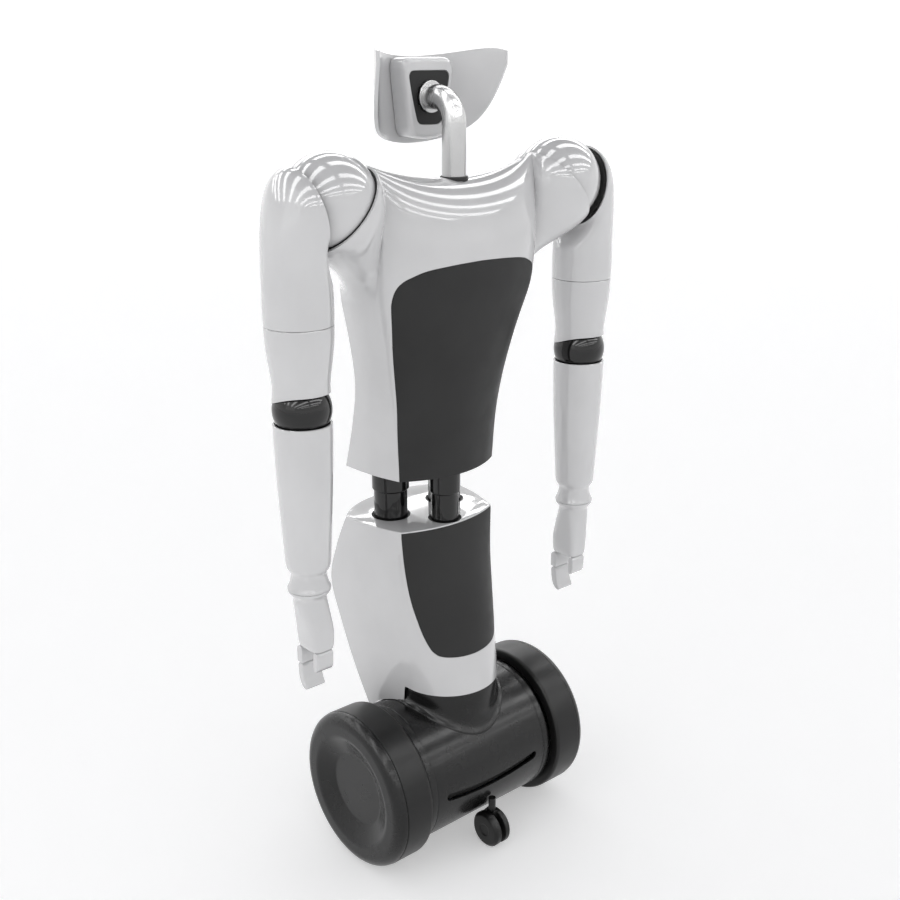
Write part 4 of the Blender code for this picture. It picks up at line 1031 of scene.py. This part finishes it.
def visor(axis_y):
    """A bent sheet, wider and higher at its wings than over the chin."""
    columns, rows = 120, 12
    points, faces = [], []
    for i in range(columns + 1):
        u = math.sin(math.pi / 2 * (2 * i / columns - 1))
        x = VISOR_HALF * u
        y = axis_y + math.sqrt(VISOR_R**2 - x**2)
        reach = abs(u)
        high = VISOR_TOP + 0.019 * reach**2 - 0.010 * reach**14
        low = VISOR_FOOT + 0.045 * reach**2.2 + 0.085 * reach**10
        points += [(x, y, blend(low, high, j / rows)) for j in range(rows + 1)]
    for i in range(columns):
        for j in range(rows):
            a = i * (rows + 1) + j
            faces.append((a, a + 1, a + rows + 2, a + rows + 1))
    sheet = new_object("visor", points, faces)
    solidify = sheet.modifiers.new("Wall", "SOLIDIFY")
    solidify.thickness = VISOR_T
    solidify.offset = -1.0
    solidify.use_even_offset = True
    bevel = sheet.modifiers.new("Round", "BEVEL")
    bevel.width = 0.0014
    bevel.segments = 3
    bevel.limit_method = "ANGLE"
    bevel.angle_limit = math.radians(60)
    show(sheet, "visor", 45)


# ---------------------------------------------------------------- studio


def studio():
    """A white floor, a sky that is brightest at the horizon, and one soft fill."""
    mesh = bpy.data.meshes.new("floor")
    corners = [(x * FLOOR_REACH, y * FLOOR_REACH, 0) for x, y in ((-1, -1), (1, -1), (1, 1), (-1, 1))]
    mesh.from_pydata(corners, [], [(0, 1, 2, 3)])
    floor = bpy.data.objects.new("floor", mesh)
    floor.location.z = CAD_BOX[0].z - 0.0002
    bpy.context.scene.collection.objects.link(floor)
    paper = surface("floor_white", grey(0.925), grey(0.935), (0.60, 0.70), 30, 0.00001, specular=0.1)
    shader = paper.node_tree.nodes["Principled BSDF"]
    shader.inputs["Emission Color"].default_value = (1, 1, 1, 1)
    shader.inputs["Emission Strength"].default_value = FLOOR_GLOW
    floor.data.materials.append(paper)
    world = bpy.data.worlds.new("studio")
    bpy.context.scene.world = world
    world.use_nodes = True
    tree = world.node_tree
    direction = tree.nodes.new("ShaderNodeTexCoord").outputs["Generated"]
    split = tree.nodes.new("ShaderNodeSeparateXYZ")
    ramp = tree.nodes.new("ShaderNodeValToRGB")
    ramp.color_ramp.elements[0].position = 0.12
    ramp.color_ramp.elements[0].color = (1, 1, 1, 1)
    ramp.color_ramp.elements[1].position = 0.75
    ramp.color_ramp.elements[1].color = (0.38, 0.38, 0.39, 1)
    link(tree, direction, split.inputs["Vector"])
    link(tree, split.outputs["Z"], ramp.inputs["Fac"])
    tree.nodes["Background"].inputs["Strength"].default_value = WORLD_STRENGTH
    ceiling_strips(tree, split, ramp.outputs["Color"])
    softbox("fill", (-3.4, -0.6, 2.6), (0, 0, 1.2), 2.4, 2.4, FILL_POWER)


def calculate(tree, operation, first, second=0.0):
    """A Math node of one socket with a number or another socket."""
    node = tree.nodes.new("ShaderNodeMath")
    node.operation = operation
    link(tree, first, node.inputs[0])
    if isinstance(second, float):
        node.inputs[1].default_value = second
    else:
        link(tree, second, node.inputs[1])
    return node.outputs[0]


def ceiling_strips(tree, split, sky):
    """Rows of bright strips overhead, each broken in the middle, seen in reflections only."""
    height = calculate(tree, "MAXIMUM", split.outputs["Z"], 0.02)
    across = calculate(tree, "DIVIDE", split.outputs["Y"], height)
    phase = calculate(tree, "FRACT", calculate(tree, "MULTIPLY", across, STRIP_RATE))
    along = calculate(tree, "ABSOLUTE", calculate(tree, "DIVIDE", split.outputs["X"], height))
    glow = tree.nodes.new("ShaderNodeLightPath").outputs["Is Glossy Ray"]
    tests = (
        ("LESS_THAN", phase, STRIP_SHARE), ("LESS_THAN", along, STRIP_LENGTH),
        ("GREATER_THAN", along, STRIP_BREAK), ("GREATER_THAN", split.outputs["Z"], STRIP_LOWEST),
    )
    for operation, value, limit in tests:
        glow = calculate(tree, "MULTIPLY", glow, calculate(tree, operation, value, limit))
    glow = calculate(tree, "MULTIPLY", glow, STRIP_GLOW)
    total = tree.nodes.new("ShaderNodeVectorMath")
    link(tree, sky, total.inputs[0])
    link(tree, glow, total.inputs[1])
    link(tree, total.outputs["Vector"], tree.nodes["Background"].inputs["Color"])


def softbox(name, place, aim, width, height, power):
    light = bpy.data.lights.new(name, "AREA")
    light.shape = "RECTANGLE"
    light.size = width
    light.size_y = height
    light.energy = power
    obj = bpy.data.objects.new(name, light)
    obj.location = place
    obj.rotation_euler = (Vector(aim) - Vector(place)).to_track_quat("-Z", "Y").to_euler()
    bpy.context.scene.collection.objects.link(obj)


def camera():
    lens = bpy.data.cameras.new("view")
    lens.lens = CAMERA_LENS
    lens.sensor_width = 36.0
    obj = bpy.data.objects.new("view", lens)
    obj.location = CAMERA_AT
    obj.rotation_euler = CAMERA_TURN
    bpy.context.scene.collection.objects.link(obj)
    bpy.context.scene.camera = obj


base()
for side_sign, side_name in SIDES:
    wheel(side_sign, side_name)
for caster_name in ("front", "rear"):
    caster(caster_name)
collar()
leg()
torso()
for side_sign, side_name in SIDES:
    shoulder(side_sign, side_name)
    lower_arm(side_sign, side_name)
    palm(side_sign, side_name)
    fingers(side_sign, side_name)
neck()
head()
for node, obj in frame["nodes"].items():
    if not obj.hide_render:
        obj.data.materials.clear()
        obj.data.materials.append(MATERIALS[SLOT_OF[node]])
studio()
camera()
bpy.context.scene.view_settings.view_transform = "Standard"
